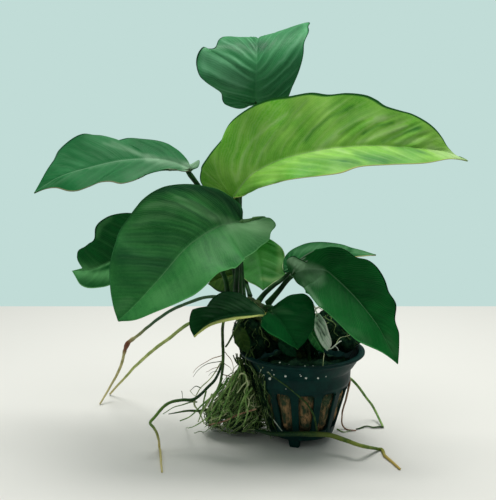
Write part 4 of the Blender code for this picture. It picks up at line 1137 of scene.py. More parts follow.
KNEE_SWELLINGS = ((0.0, 2.4, 0.75), (4.5, 1.2, 0.35))  # distance from the knee, width, rise as a share


def root_route(route, radius, count):
    points = [seen_on_floor(*spot, radius + 0.1) if len(spot) == 2 else seen(*spot) for spot in route]
    return smooth_path(points, count)


def spread_radii(radii, count):
    return np.interp(np.linspace(0, 1, count), np.linspace(0, 1, len(radii)), radii)


def root_shape(path, radii, sides, seed, rough=0.1, kinks=0.25):
    """A root with small knots along it, which wanders a little and stays off the floor."""
    share = np.linspace(0, 1, len(path))
    thick = spread_radii(radii, len(path))
    wander = np.column_stack([spread_noise(path, 7.0, seed + k) for k in (0.0, 3.0, 6.0)])
    path = path + wander * kinks * np.minimum(1, 8 * share * (1 - share))[:, None]
    thick = thick * (1 + rough * spread_noise(path, 2.2, seed + 9.0))
    path[:, 2] = np.maximum(path[:, 2], thick + 0.05)
    squash = 1 + 0.06 * np.sin(2 * turns_round(sides) + seed)[None, :] * np.ones((len(path), 1))
    return tube(path, thick, sides, squash)


def add_root(root, number, looks):
    """A thick root. The upper left one has a brown knee, which is a swelling and a smaller one beside it."""
    path = root_route(root.route, root.radii[-1], ROOT_POINTS)
    path[:, 2] = np.maximum(path[:, 2], root.radii[-1] + 0.1)
    knee = seen(*ROOT_KNEE)
    from_knee = np.linalg.norm(path - knee, axis=1)
    swollen = np.ones(ROOT_POINTS)
    for away, width, rise in KNEE_SWELLINGS:
        swollen += rise * np.exp(-(((from_knee - away) / width) ** 2))
    radii = spread_radii(root.radii, ROOT_POINTS) * swollen
    points, faces = root_shape(path, radii, ROOT_SIDES, number * 1.7)
    share = np.concatenate([np.repeat(np.linspace(0, 1, ROOT_POINTS), ROOT_SIDES), [0, 1]])
    stain = np.clip(1.7 - np.linalg.norm(points - knee, axis=1) / 3.6, 0, 1)
    read = {"along": share, "stain": stain}
    add_piece(root.name + "_skin", points, faces, "root", looks[root.look], (root.name,), read)


def add_groups(groups, title, slot, looks):
    """One piece for each kind of strand, from its (points, faces)."""
    for kind, parts in groups.items():
        add_piece(title.format(kind), *joined(parts), slot, looks[kind])


# Thin roots, only in the visual model: colour, radius at both ends, whether one lies on the pot, route.
FINE_ROOTS = (
    ("dark", 0.5, 0.35, False, ((241, 320, -8), (233, 335, -11), (229, 342, -12.5), (225.5, 347, -13.5))),
    ("brown", 0.2, 0.07, False, ((222, 355.5, -14), (211, 359, -15), (201, 365, -16), (193, 373, -17))),
    ("dark", 0.2, 0.07, False, ((222, 361, -14), (208.5, 364, -13), (200, 369, -12), (193, 377, -11))),
    ("brown", 0.18, 0.07, False, ((221.5, 366.5, -14), (213, 368, -15), (206, 372, -16))),
    ("dark", 0.16, 0.07, False, ((221, 372, -14), (213, 372, -14.5), (208.5, 376, -15))),
    ("brown", 0.2, 0.08, False, (
        (225, 352, -13), (231.5, 359, -14), (233.6, 366.4, -15), (233.6, 374, -15),
    )),
    ("brown", 0.16, 0.08, False, ((224, 363, -14), (230, 368, -13), (231.4, 371, -13))),
    ("brown", 0.22, 0.1, False, ((222.5, 374, -14), (231.4, 376.4, -12), (234.3, 381, -12))),
    ("brown", 0.16, 0.1, False, ((225.7, 375, -13), (226.2, 379, -13.5), (225.7, 383, -14))),
    ("dark", 0.3, 0.2, False, ((234, 381, -12), (228.6, 388, -13.5), (221.4, 395, -15), (214, 407, -16.5))),
    ("pale", 0.3, 0.22, False, (
        (221.5, 362, -14.5), (211, 378, -14), (201, 388, -13.3), (195.7, 396, -13),
    )),
    ("dark", 0.22, 0.1, False, ((201, 388, -13.3), (196, 386, -12.5), (190, 390.7, -12))),
    ("pale", 0.16, 0.08, False, ((190, 390.5, -13), (193, 394, -13), (196, 396.5, -13))),
    ("dark", 0.14, 0.08, False, ((181.4, 391, -13.5), (182, 395, -13.6), (183, 400, -13.7))),
    ("pale", 0.45, 0.25, False, ((195, 399, -12.6), (195, 405, -13), (199.3, 412, -14), (204.3, 424, -16))),
    ("dark", 0.7, 0.22, False, ((206, 409.5, -15), (199, 410.7, -14), (188, 411, -13), (168.6, 414, -11))),
    ("tan", 0.35, 0.15, False, ((197, 402, -12.5), (186, 403.5, -13), (174, 407, -14.5), (163, 414, -17))),
    ("pale", 0.4, 0.2, False, ((220, 388, -15), (214, 396.4, -16), (212, 408, -16.5), (211.4, 421, -17))),
    ("green", 0.4, 0.25, False, ((206, 391, -13.5), (204.3, 399, -14), (202.9, 408, -15), (200, 414, -16))),
    ("pale", 0.4, 0.2, False, ((212, 394, -15), (206.4, 405, -16), (201.4, 413.6, -17), (198, 422, -18))),
    ("green", 0.45, 0.2, False, ((222, 378, -15), (217, 392, -17), (209, 408, -18), (206, 423, -18))),
    ("brown", 0.38, 0.25, False, (
        (256, 409, -19.5), (243, 413.5, -21), (231, 418, -22), (220, 422, -22), (209, 425, -21),
    )),
    ("green", 0.3, 0.15, False, (
        (222, 400, -18), (216, 412, -20), (205, 420, -21), (196, 426, -22), (186, 428),
    )),
    ("tan", 0.25, 0.12, False, ((232, 400, -17), (221, 416, -20), (213, 426, -21), (203, 432), (194, 433))),
    ("green", 0.5, 0.3, False, ((240, 366, -15), (233, 384, -19), (226, 402, -22), (219, 420, -24))),
    ("green", 0.45, 0.25, False, ((234, 374, -15), (224, 392, -19), (214, 408, -21), (206, 421, -22))),
    ("green", 0.5, 0.25, False, ((228, 378, -15), (219, 391, -18), (208, 401, -19), (200, 416, -20))),
    ("green", 0.45, 0.25, False, ((244, 372, -17), (247, 388, -20), (240, 405, -23), (236, 424, -25))),
    ("pale", 0.35, 0.2, False, (
        (238, 378, -17), (241, 373, -17), (246, 374, -18), (247, 380, -19), (242, 385, -20),
        (237, 393, -21),
    )),
    ("pale", 0.3, 0.2, False, (
        (246, 378, -18), (249, 384, -20), (245, 392, -21), (249, 401, -22), (246, 412, -24),
    )),
    ("green", 0.4, 0.2, False, ((252, 388, -19), (246, 399, -22), (248, 412, -24), (243, 427, -26))),
    ("tan", 0.3, 0.18, False, ((230, 392, -18), (226, 404, -21), (232, 415, -23), (227, 428, -25))),
    ("green", 0.45, 0.2, False, (
        (222, 384, -15), (212, 396, -17), (203, 404, -18), (190, 416, -20), (180, 421, -21),
    )),
    ("dark", 0.22, 0.45, True, (
        (268, 373), (278, 380), (289, 388), (301, 398), (308, 405), (314, 416), (317, 431),
    )),
    ("white", 0.22, 0.2, True, ((254, 396), (258, 402), (264, 409), (272, 418), (282, 431))),
    ("dark", 0.25, 0.15, True, ((250, 347), (253, 355), (257, 364), (262, 372))),
    ("pale", 0.16, 0.1, True, ((263, 367), (259.6, 373), (260, 381), (263, 375), (268, 372), (272, 377))),
    ("pale", 0.14, 0.1, False, ((324, 353, -27), (323, 358, -28), (323, 366, -28))),
    ("green", 0.5, 0.4, False, (
        (339, 385, 13.7), (337, 388, 13), (334.6, 390, 11), (331, 392.5, 8.6), (327, 395, 7),
    )),
    ("dark", 0.45, 0.3, False, ((383.5, 427), (374, 427.5), (366, 426.5), (356, 429))),
    ("brown", 0.5, 0.3, False, (
        (350, 379, 2), (348.4, 389, 2), (346.6, 399, 3), (343.8, 408, 4), (341.6, 416, 7), (341, 423, 9),
        (344, 428), (349.5, 430), (356, 430.5),
    )),
    ("green", 0.3, 0.15, False, ((337, 429), (344, 432), (352, 430))),
    ("white", 0.25, 0.15, True, ((260.2, 382), (259.5, 378), (259.7, 374), (261, 369.5))),
    ("white", 0.34, 0.2, False, ((328, 349, -13), (332, 348, -12.5), (336, 344.5, -12), (341, 341, -10))),
    ("pale", 0.16, 0.08, False, ((336, 344.5, -12), (340, 338, -9), (346, 336, -8), (350, 335, -7))),
    ("white", 0.2, 0.14, False, ((334, 346, -12), (337, 348, -12), (338.5, 351, -12))),
    ("white", 0.4, 0.25, False, ((312, 303, -9), (316, 308.5, -9), (321, 305, -8.5))),
    ("white", 0.35, 0.2, False, ((314, 313, -9), (317.5, 307, -9), (323, 310, -8.5))),
    ("white", 0.3, 0.2, False, ((311.5, 308, -8), (316, 311, -8), (319, 317, -8))),
)


def add_fine_roots(looks):
    groups = {}
    for number, (colour, thick, thin, on_pot, route) in enumerate(FINE_ROOTS):
        if on_pot:
            path = smooth_path([seen_on_pot(right, down, thick * 0.6) for right, down in route], FINE_POINTS)
        else:
            path = root_route(route, thick, FINE_POINTS)
        shape = root_shape(path, (thick, thin), FINE_SIDES, 20 + number, 0.12, 0.1 if on_pot else 0.5)
        groups.setdefault(colour + "_root", []).append(shape)
    add_groups(groups, "fine_{}s", "root", looks)


# Outline of the tangle of roots against the pot's left side.
ROOT_MASS = (
    (0.2, 3.5, 10, 17, 24, 30, 36),  # heights
    (-27, -26.5, -27, -27, -26.5, -26, -27),  # middle, across
    (9, 6, 4, 2, 1, 0, 0),  # middle, in depth
    (8, 13.5, 13.5, 10.5, 7, 4, 2),  # half size across
    (6, 9.5, 10.5, 9, 7.5, 5.5, 3),  # half size in depth
)
CORE_MIDDLE = (-27.0, 2.0, 0.0)
CORE_LEVELS, CORE_SIDES = np.linspace(0.2, 33.0, 70), 110
TANGLE_SEED, CROWN_SEED = 11, 23
ABOUT_A_TURN = 6.28


def mass_point(turn, z, swell):
    """A point on the tangle's outline, or that far outside it, and clear of the pot."""
    x, y, across, deep = (np.interp(z, ROOT_MASS[0], column) for column in ROOT_MASS[1:])
    bump = 1 + 0.07 * math.sin(3 * turn + z)
    across, deep = across * bump + swell, deep * bump + swell
    spot = np.array([x + across * math.cos(turn), y + deep * math.sin(turn)])
    clear = pot_outside(z) + 0.6 + 0.4 * max(swell, 0.0)
    spot *= max(1.0, clear / np.linalg.norm(spot))
    return np.array([spot[0], spot[1], max(z, 0.2)])


def falling_path(random, turn, high, low):
    """A strand down the tangle's side that curls and drifts to the viewer's left."""
    drift = math.copysign(random.uniform(0.0, 1.0), math.sin(turn))
    curl, pace, phase = random.uniform(0.8, 3.2), random.uniform(0.7, 2.2), random.uniform(0, ABOUT_A_TURN)
    stand, flare = random.uniform(-2.6, 0.2), random.uniform(0, 2.4)
    path, count = [], 14
    for step, level in enumerate(np.linspace(high, low, count)):
        t = step / (count - 1)
        swing = curl * math.sin(pace * ABOUT_A_TURN * t + phase)
        lift = stand + flare * t - 1.5 * max(0.0, (level - 26) / 8) + 0.8 * math.sin(pace * 8 * t + 2 * phase)
        tuck = 2.4 * math.exp(-(((level - 22) / 7) ** 2)) * max(0.0, -math.cos(turn))
        path.append(mass_point(turn + drift * t + swing / 10, level + 0.5 * swing, lift - tuck))
    return path


def loop_path(random, turn, level):
    """A strand that curls round on the tangle's side."""
    size, start = random.uniform(1.2, 4.0), random.uniform(0, ABOUT_A_TURN)
    sense = random.choice([-1, 1])
    stand, sweep = random.uniform(-1.2, 0.6), random.uniform(2.5, 5.5)
    path = []
    for t in np.linspace(0, 1, 12):
        angle = start + sense * sweep * t
        reach = size * (1 + 0.8 * t)
        lift = stand + 0.7 * math.sin(3 * angle)
        path.append(mass_point(turn + reach * math.cos(angle) / 12, level + reach * math.sin(angle), lift))
    return path


def add_root_mass(looks):
    """A dark mossy core, and round it a tangle of curling strands."""
    turns = turns_round(CORE_SIDES)
    swells = [-3.4 - 3.2 * max(0.0, -math.cos(turn + 0.3)) for turn in turns]
    points = np.array([mass_point(turn, z, swell) for z in CORE_LEVELS for turn, swell in zip(turns, swells)])
    lumps = 1.8 * spread_noise(points, 4.5, 3.0) + 0.8 * spread_noise(points, 1.5, 8.0)
    points = points + unit((points - CORE_MIDDLE) * [1, 1, 0]) * lumps[:, None]
    points[:, 2] = np.maximum(points[:, 2], 0.1)
    faces = capped_rings(len(CORE_LEVELS), CORE_SIDES)
    add_piece("root_tangle_core", points, faces, "root_tangle", looks["moss"], ("root_mass",))
    random = np.random.default_rng(TANGLE_SEED)
    kinds = {"tangle_root": [], "green_root": [], "dark_root": [], "pale_root": []}
    order = ("tangle_root", "dark_root", "green_root", "pale_root", "dark_root", "green_root", "tangle_root")
    for number in range(TANGLE_STRANDS):
        loop = number % 4 == 3
        turn, z = random.uniform(0, 2 * math.pi), random.uniform(12, 38)
        if loop:
            path = loop_path(random, turn, random.uniform(3, 27))
        else:
            path = falling_path(random, turn, z, min(random.uniform(0.4, 7 if number % 2 else 16), z - 8))
        radius = random.uniform(0.1, 0.19) if loop or number % 3 == 0 else random.uniform(0.18, 0.32)
        radii = (radius, radius, radius * 0.5)
        shape = root_shape(smooth_path(path, 30), radii, STRAND_SIDES, number, 0.15, 0.6)
        kinds[order[number % len(order)]].append(shape)
    add_groups(kinds, "{}_strands", "root_tangle", looks)


RHIZOME = ((303, 369, 1), (297, 354, 0), (278, 331, -1), (260, 312, -1), (245, 303, 0))
RHIZOME_RADII = (3.6, 4.2, 4.2, 3.4)
RHIZOME_POINTS, RHIZOME_SIDES = 120, 40
RHIZOME_SCARS = 13


def add_rhizome(looks):
    """The creeping stem, ringed by old leaf scars."""
    path = smooth_path([seen(*point) for point in RHIZOME], RHIZOME_POINTS)
    along, turns = np.linspace(0, 1, RHIZOME_POINTS), turns_round(RHIZOME_SIDES)
    rings = 0.5 - 0.5 * np.cos(2 * math.pi * along * RHIZOME_SCARS + 0.8 * np.sin(along * 21))
    radii = spread_radii(RHIZOME_RADII, RHIZOME_POINTS) * (0.9 + 0.1 * rings**0.4)
    squash = 1 + 0.05 * np.sin(3 * turns + 9 * along[:, None]) + 0.02 * np.sin(7 * turns)
    points, faces = tube(path, radii, RHIZOME_SIDES, squash)
    out = unit(points - path[np.clip(np.arange(len(points)) // RHIZOME_SIDES, 0, RHIZOME_POINTS - 1)])
    points = points + out * (0.25 * spread_noise(points, 1.5, 6.0)[:, None])
    add_piece("rhizome_skin", points, faces, "rhizome", looks["rhizome"], ("rhizome",))


# Lumps of moss and old roots in the pot's mouth: middle (as seen, with depth) and reach along each axis.
CROWN_LUMPS = (
    ((253, 337, 0), (7.5, 6.5, 8.5)),
    ((244, 331, 3), (4.5, 4.5, 6.5)),
    ((268, 331, 3), (9.0, 5.5, 8.5)),
    ((300, 334, 3), (13.0, 7.5, 8.5)),
    ((331, 331, 4), (9.5, 6.0, 9.0)),
    ((345, 338, 3), (6.5, 6.0, 6.5)),
)


# How far from the pot's axis there is room at a height: inside the pot, and past its lip above it.
MOUTH_ROOM = ((27.0, 18.3), (32.4, 18.8), (36.2, 21.6), (40.0, 23.6), (41.5, 26.0), (46.0, 40.0))


def mouth_reach(z):
    return np.interp(z, *zip(*MOUTH_ROOM))


def crown_lump(middle, reach, seed):
    """A lumpy closed form, kept inside the pot and above the wool."""
    rings, sides = 34, 46
    downs = [math.pi * ring / rings for ring in range(rings + 1)]
    ball = np.array([way(down, turn) for down in downs for turn in turns_round(sides)]) * reach
    swell = 1 + 0.28 * spread_noise(ball, 5.0, seed) + 0.13 * spread_noise(ball, 1.8, seed + 4.0)
    points = middle + ball * swell[:, None]
    points[:, 2] = np.maximum(points[:, 2], WOOL_TOP - 0.5)
    wide = np.linalg.norm(points[:, :2], axis=1)
    points[:, :2] *= np.minimum(1.0, mouth_reach(points[:, 2]) / np.maximum(wide, 0.1))[:, None]
    return points, ring_faces(rings + 1, sides, from_top=True)


def over_the_rim(random, turn):
    """A strand from under the rhizome, over the lip and down the outside of the pot."""
    start = seen(random.uniform(250, 264), random.uniform(322, 338), random.uniform(0, 9))
    foot, stand = random.uniform(6, 30), random.uniform(0.4, 2.2)
    path = [start, start * [0.5, 0.5, 0] + round_axis(12.4, turn, 44.5)]
    for z in (41.2, 39.5, *np.linspace(37, foot, 6)):
        reach = pot_outside(z) + stand + 0.4 * math.sin(z + 9 * turn)
        path.append(round_axis(reach, turn + random.uniform(-0.05, 0.05), z))
    return path


def along_the_wall(random):
    """A strand that wanders down the pot's left side."""
    turn, drift = random.uniform(3.4, 3.85), random.uniform(-0.2, 0.15)
    high = random.uniform(22, 36)
    path = []
    for step, z in enumerate(np.linspace(high, random.uniform(1, high - 10), 9)):
        around = turn + drift * step / 8 + random.uniform(-0.035, 0.035)
        path.append(round_axis(pot_outside(z) + 0.35 + 0.25 * (1 + math.sin(2 * step + 9 * turn)), around, z))
    return path


def add_crown(looks):
    """Dark moss from the wool up to the rhizome, and roots that run down over it and out to the tangle."""
    lumps = [crown_lump(seen(*middle), reach, 3.0 * k) for k, (middle, reach) in enumerate(CROWN_LUMPS)]
    lumps.append(crown_lump(np.array([0.0, 0.0, WOOL_TOP - 1.5]), (25.0, 25.0, 11.0), 40.0))
    add_piece("crown_moss", *joined(lumps), "root_tangle", looks["moss"])
    random = np.random.default_rng(CROWN_SEED)
    parts = {"crown_root": [], "dark_root": [], "tangle_root": []}
    kinds = ("crown_root", "dark_root", "crown_root", "crown_root", "tangle_root")
    for number in range(CROWN_STRANDS):
        middle, reach = CROWN_LUMPS[number % len(CROWN_LUMPS)]
        middle = seen(*middle)
        turn, down = random.uniform(0, ABOUT_A_TURN), random.uniform(0.2, 1.4)
        bend = random.uniform(-1.2, 1.2)
        path = []
        for t in np.linspace(0, 1, 8):
            out = np.array(way(down + 1.1 * t, turn + bend * t + 0.15 * math.sin(9 * t + number)))
            spot = middle + out * reach * random.uniform(1.0, 1.12)
            spot[2] = max(spot[2], WOOL_TOP + 0.3)
            spot[:2] *= min(1.0, mouth_reach(spot[2]) / max(np.linalg.norm(spot[:2]), 0.1))
            path.append(spot)
        radius = random.uniform(0.14, 0.34)
        path = smooth_path(path, 22)
        shape = root_shape(path, (radius, radius * 0.5), STRAND_SIDES, number + 50, 0.15, 0.5)
        parts[kinds[number % len(kinds)]].append(shape)
    kinds = ("dark_root", "crown_root", "crown_root", "crown_root", "tangle_root")
    for number in range(SPILLING_STRANDS):
        path = over_the_rim(random, random.uniform(2.6, 3.65)) if number % 2 else along_the_wall(random)
        radius = random.uniform(0.14, 0.3)
        path = smooth_path(path, 28)
        shape = root_shape(path, (radius, radius * 0.5), STRAND_SIDES, number + 300, 0.15, 0.2)
        parts[kinds[number // 2 % len(kinds)]].append(shape)
    add_groups(parts, "crown_{}s", "root_tangle", looks)


class Look:
    """A material that is put together node by node. Inputs are numbers, colours or another node's output."""

    def __init__(self, name):
        self.material = bpy.data.materials.new(name)
        self.material.use_nodes = True
        self.tree = self.material.node_tree
        self.tree.nodes.clear()
        self.place = self.add("TexCoord").outputs["Object"]

    def add(self, kind, inputs=(), **settings):
        node = self.tree.nodes.new("ShaderNode" + kind)
        for setting, value in settings.items():
            setattr(node, setting, value)
        for socket, value in dict(inputs).items():
            if isinstance(value, bpy.types.NodeSocket):
                self.tree.links.new(value, node.inputs[socket])
            else:
                node.inputs[socket].default_value = value
        return node

    def fact(self, name):
        return self.add("Attribute", attribute_name=name).outputs["Fac"]

    def noise(self, size, detail=4.0, rough=0.55, stretch=(1.0, 1.0, 1.0), place=None):
        """Noise from 0 to 1 with features of that size, in millimetres unless a place is given."""
        scale = 1.0 / size if place else 1000.0 / size
        place = place or self.place
        if stretch != (1.0, 1.0, 1.0):
            place = self.add("Mapping", {0: place, 3: stretch}).outputs[0]
        inputs = {"Vector": place, "Scale": scale, "Detail": detail, "Roughness": rough}
        return self.add("TexNoise", inputs).outputs["Fac"]

    def math(self, operation, a, b=0.0, c=0.0):
        return self.add("Math", {0: a, 1: b, 2: c}, operation=operation).outputs[0]

    def times(self, a, b):
        return self.math("MULTIPLY", a, b)

    def ramp(self, value, low, high, first=0.0, last=1.0):
        """value from low to high, turned smoothly into first to last."""
        inputs = {"Value": value, "From Min": low, "From Max": high, "To Min": first, "To Max": last}
        return self.add("MapRange", inputs, interpolation_type="SMOOTHSTEP").outputs[0]

    def mix(self, share, a, b):
        inputs = {0: share, 6: a, 7: b}
        return self.add("Mix", inputs, data_type="RGBA").outputs[2]

    def bump(self, height, strength, distance):
        inputs = {"Height": height, "Strength": strength, "Distance": distance * MM}
        return self.add("Bump", inputs).outputs[0]

    def finish(self, colour, rough, specular=0.5, normal=None):
        inputs = {"Base Color": colour, "Roughness": rough, "Specular IOR Level": specular}
        if normal:
            inputs["Normal"] = normal
        shader = self.add("BsdfPrincipled", inputs)
        self.add("OutputMaterial", {0: shader.outputs[0]})
        return self.material


def rgb(red, green, blue):
    """A colour as the photograph shows it, 0 to 255, as the linear colour that the shader takes."""
    linear = []
    for value in (red / 255, green / 255, blue / 255):
        linear.append(value / 12.92 if value <= 0.04045 else ((value + 0.055) / 1.055) ** 2.4)
    return (*linear, 1.0)


@dataclass
class Tint:
    """Colours and finish of a blade, as the photograph shows them."""

    deep: tuple
    light: tuple
    pale: tuple  # veins and painted sheen
    dark: tuple  # painted shade in the furrows and in the darker sweeps; also darker streaks and cells
    under: tuple
    edge: tuple  # left and right margin: colour and width as a share of the half; the dark ones are painted shade along the curled edge
    rough: float = 0.45
    specular: float = 0.1
    midrib: float = 0.45
    streaks: float = 0.4
    vein: float = 0.4
    # How much painted shade darkens the furrows.
    furrow_shade: float = 0.5


def leaf_look(name, tint):
    """A blade: patches of two greens in streaks along the veins, pale veins beside furrows darkened with
    painted shade, the strokes' painted sheen and painted shade, and an edge.
    """
    look = Look("leaf_" + name)
    deep, light, pale, dark, under = (
        rgb(*colour) for colour in (tint.deep, tint.light, tint.pale, tint.dark, tint.under)
    )
    share, upper, along = look.fact("outward"), look.fact("upper"), look.fact("along")
    left, painted_sheen_shade, clear = look.fact("left_half"), look.fact("painted_sheen_shade"), look.fact("clear")
    number = look.math("MULTIPLY_ADD", look.noise(7.0, 3.0), 0.5, look.fact("vein"))
    strip = look.add("CombineXYZ", {0: look.times(number, 2.3), 1: share, 2: left}).outputs[0]
    streaks = look.noise(1.0, 5.0, 0.65, place=strip)
    away = look.math("PINGPONG", number, 0.5)
    beside = look.math("PINGPONG", look.math("ADD", number, 0.32), 0.5)
    fade = look.times(look.ramp(share, 1.0, 0.82), look.ramp(share, 0.02, 0.2, 0.4, 1.0))
    shown = look.times(look.times(clear, fade), look.ramp(streaks, 0.3, 0.62, 0.25, 1.0))
    vein = look.times(look.ramp(away, 0.17, 0.02), shown)
    # Painted shade in the furrow beside each vein.
    furrow_shade = look.times(look.ramp(beside, 0.25, 0.05), shown)
    fine = look.ramp(look.math("PINGPONG", look.times(number, 7.0), 0.5), 0.4, 0.05)
    grain = look.noise(1.3, 5.0, 0.7)
    colour = look.mix(look.ramp(look.noise(15.0, 3.0), 0.3, 0.7), deep, light)

    def lay(amount, other):
        nonlocal colour
        colour = look.mix(amount, colour, other)

    lay(look.times(look.ramp(streaks, 0.45, 0.7), tint.streaks), light)
    lay(look.times(look.ramp(streaks, 0.5, 0.3), tint.streaks * 0.5), dark)
    lay(look.ramp(grain, 0.4, 0.75, 0.0, 0.25), light)
    cells = look.noise(0.55, 3.0, 0.6)
    lay(look.ramp(cells, 0.5, 0.75, 0.0, 0.55), light)
    lay(look.ramp(cells, 0.45, 0.25, 0.0, 0.28), dark)
    # The strokes' painted sheen lays the pale colour, and their painted shade lays the dark one.
    painted_sheen_shade = look.times(painted_sheen_shade, look.ramp(streaks, 0.25, 0.75, 0.7, 1.15))
    lay(look.math("MAXIMUM", painted_sheen_shade, 0.0), pale)
    lay(look.math("MAXIMUM", look.times(painted_sheen_shade, -1.0), 0.0), dark)
    lay(look.times(furrow_shade, tint.furrow_shade), dark)
    lay(look.times(vein, tint.vein), pale)
    lay(look.times(look.math("ADD", clear, 0.3), look.times(fine, 0.1)), pale)
    width = look.ramp(along, 0.0, 1.0, 0.6, 0.2)
    rib = look.ramp(look.math("DIVIDE", look.fact("from_midrib"), width), 1.0, 0.3)
    lay(look.times(rib, tint.midrib), pale)
    below = look.mix(look.times(look.math("ADD", look.ramp(away, 0.12, 0.0), rib), 0.4), under, pale)
    colour = look.mix(look.ramp(upper, 0.4, 0.6), below, colour)
    for (edge_colour, edge_width), half in zip(tint.edge, (left, look.math("SUBTRACT", 1.0, left))):
        mask = look.ramp(share, 1 - edge_width, 1 - 0.4 * edge_width)
        colour = look.mix(look.times(mask, half), colour, rgb(*edge_colour))
    dull = look.ramp(upper, 0.0, 1.0, 0.2, 0.0)
    roughness = look.math("ADD", look.ramp(grain, 0.3, 0.8, tint.rough - 0.06, tint.rough + 0.1), dull)
    height = look.math("MULTIPLY_ADD", cells, 0.25, look.times(fine, -0.3))
    height = look.math("MULTIPLY_ADD", grain, 0.5, height)
    return look.finish(colour, roughness, tint.specular, look.bump(height, 0.35, 0.12))


# Painted shade along a curled margin: its colour and width.
SHADED_EDGE = ((8, 58, 34), 0.035)
TINTS = {
    "top_leaf": Tint(
        deep=(26, 106, 56), light=(52, 126, 74), pale=(122, 178, 140), dark=(6, 68, 36), under=(60, 110, 74),
        edge=(SHADED_EDGE, ((14, 74, 40), 0.02)), midrib=0.06, streaks=0.4, vein=0.36, furrow_shade=0.5,
    ),
    "bright_leaf": Tint(
        deep=(84, 166, 30), light=(138, 194, 76), pale=(184, 210, 150), dark=(38, 110, 36),
        under=(110, 160, 70), edge=(((38, 106, 40), 0.05), ((136, 140, 80), 0.03)), midrib=0.25, streaks=0.3,
        vein=0.3, furrow_shade=0.45,
    ),
    "left_leaf": Tint(
        deep=(12, 86, 40), light=(28, 104, 54), pale=(126, 162, 130), dark=(2, 56, 28),
        under=(96, 120, 90), edge=(((96, 96, 70), 0.03), ((10, 70, 40), 0.05)), midrib=0.35, streaks=0.2,
        specular=0.05, vein=0.3, furrow_shade=0.3,
    ),
    "centre_leaf": Tint(
        deep=(22, 92, 38), light=(52, 120, 58), pale=(128, 174, 124), dark=(0, 52, 28), under=(80, 120, 66),
        edge=(((70, 128, 70), 0.02), ((44, 106, 58), 0.02)), midrib=0.16, streaks=0.45, specular=0.06,
        vein=0.12, furrow_shade=0.8,
    ),
    "far_left_leaf": Tint(
        deep=(2, 66, 24), light=(10, 84, 32), pale=(92, 160, 96), dark=(0, 40, 14), under=(60, 110, 60),
        edge=(((84, 140, 84), 0.03), ((10, 66, 34), 0.04)), midrib=0.1, streaks=0.3, specular=0.05, vein=0.2,
    ),
    "small_bright_leaf": Tint(
        deep=(16, 98, 18), light=(32, 116, 28), pale=(140, 176, 110), dark=(10, 64, 18), under=(80, 130, 54),
        edge=(((168, 190, 140), 0.04), ((110, 146, 84), 0.04)), midrib=0.0, streaks=0.1, vein=0.1, furrow_shade=0.1,
    ),
    "right_back_leaf": Tint(
        deep=(4, 70, 28), light=(18, 92, 40), pale=(100, 156, 108), dark=(2, 46, 20), under=(130, 150, 96),
        edge=(((12, 70, 34), 0.05), ((160, 160, 110), 0.08)), midrib=0.3, streaks=0.4, specular=0.04,
    ),
    "right_front_leaf": Tint(
        deep=(0, 68, 24), light=(8, 94, 34), pale=(150, 192, 150), dark=(0, 38, 16), under=(120, 150, 120),
        edge=(((2, 46, 22), 0.03), ((56, 122, 64), 0.02)), midrib=0.2, streaks=0.4, specular=0.015,
        vein=0.12, furrow_shade=0.5,
    ),
    "lower_left_leaf": Tint(
        deep=(2, 48, 18), light=(8, 64, 26), pale=(96, 136, 96), dark=(0, 30, 12), under=(170, 180, 90),
        edge=(((206, 214, 124), 0.42), ((10, 56, 28), 0.03)), midrib=0.0, streaks=0.35, specular=0.03,
        vein=0.15, furrow_shade=0.4,
    ),
    "lower_front_leaf": Tint(
        deep=(2, 52, 20), light=(6, 70, 28), pale=(90, 136, 92), dark=(0, 32, 12), under=(60, 104, 56),
        edge=(((10, 66, 30), 0.03), ((24, 84, 38), 0.03)), midrib=0.0, streaks=0.4, specular=0.015,
        vein=0.1, furrow_shade=0.3,
    ),
    "young_folded_leaf": Tint(
        deep=(196, 240, 200), light=(232, 252, 228), pale=(248, 255, 246), dark=(10, 84, 48),
        under=(170, 190, 150), edge=(((226, 238, 216), 0.1), ((50, 100, 60), 0.12)), midrib=0.2, streaks=0.5,
        furrow_shade=0.7,
    ),
    "young_dark_leaf": Tint(
        deep=(2, 60, 20), light=(14, 88, 30), pale=(84, 140, 84), dark=(0, 36, 14), under=(30, 80, 34),
        edge=(((20, 80, 40), 0.08), ((20, 80, 40), 0.08)), specular=0.03,
    ),
    "shaded_leaf": Tint(
        deep=(10, 46, 12), light=(44, 78, 22), pale=(92, 112, 48), dark=(4, 26, 10), under=(60, 74, 30),
        edge=(((10, 34, 14), 0.1), ((10, 34, 14), 0.1)), rough=0.55, specular=0.05,
    ),
    "rim_leaf": Tint(
        deep=(12, 46, 14), light=(44, 72, 22), pale=(92, 112, 60), dark=(4, 26, 10), under=(40, 60, 26),
        edge=(((12, 44, 18), 0.1), ((12, 44, 18), 0.1)), rough=0.55, specular=0.05, midrib=0.1,
    ),
    "mouth_leaf": Tint(
        deep=(4, 38, 22), light=(10, 54, 30), pale=(30, 74, 46), dark=(2, 26, 14), under=(10, 40, 24),
        edge=(((8, 40, 24), 0.1), ((8, 40, 24), 0.1)), rough=0.55, specular=0.03,
    ),
}


def strand_look(
    name, deep, light, size, rough, ends=(), specular=0.2, until=(0.08, 0.42), after=(0.72, 0.98)
):
    """Two colours in patches and fine lengthwise grain. A root that has ends is brown at its stains too.

    ends are the colours of its start and its tip, until and after the shares of its length where they fade.
    """
    look = Look(name)
    deep, light = rgb(*deep), rgb(*light)
    colour = look.mix(look.ramp(look.noise(size, 4.0, 0.6), 0.35, 0.65), deep, light)
    if ends:
        colour = look.mix(look.ramp(look.fact("along"), *until), rgb(*ends[0]), colour)
        colour = look.mix(look.ramp(look.fact("along"), *after), colour, rgb(*ends[1]))
        colour = look.mix(look.fact("stain"), colour, rgb(*ROOT_STAIN))
    fine = look.noise(0.5, 4.0, 0.65, (1.0, 1.0, 0.3))
    colour = look.mix(look.ramp(fine, 0.5, 0.8, 0.0, 0.35), colour, light)
    roughness = look.ramp(fine, 0.2, 0.8, rough - 0.08, rough + 0.12)
    return look.finish(colour, roughness, specular, look.bump(fine, 0.5, 0.15))


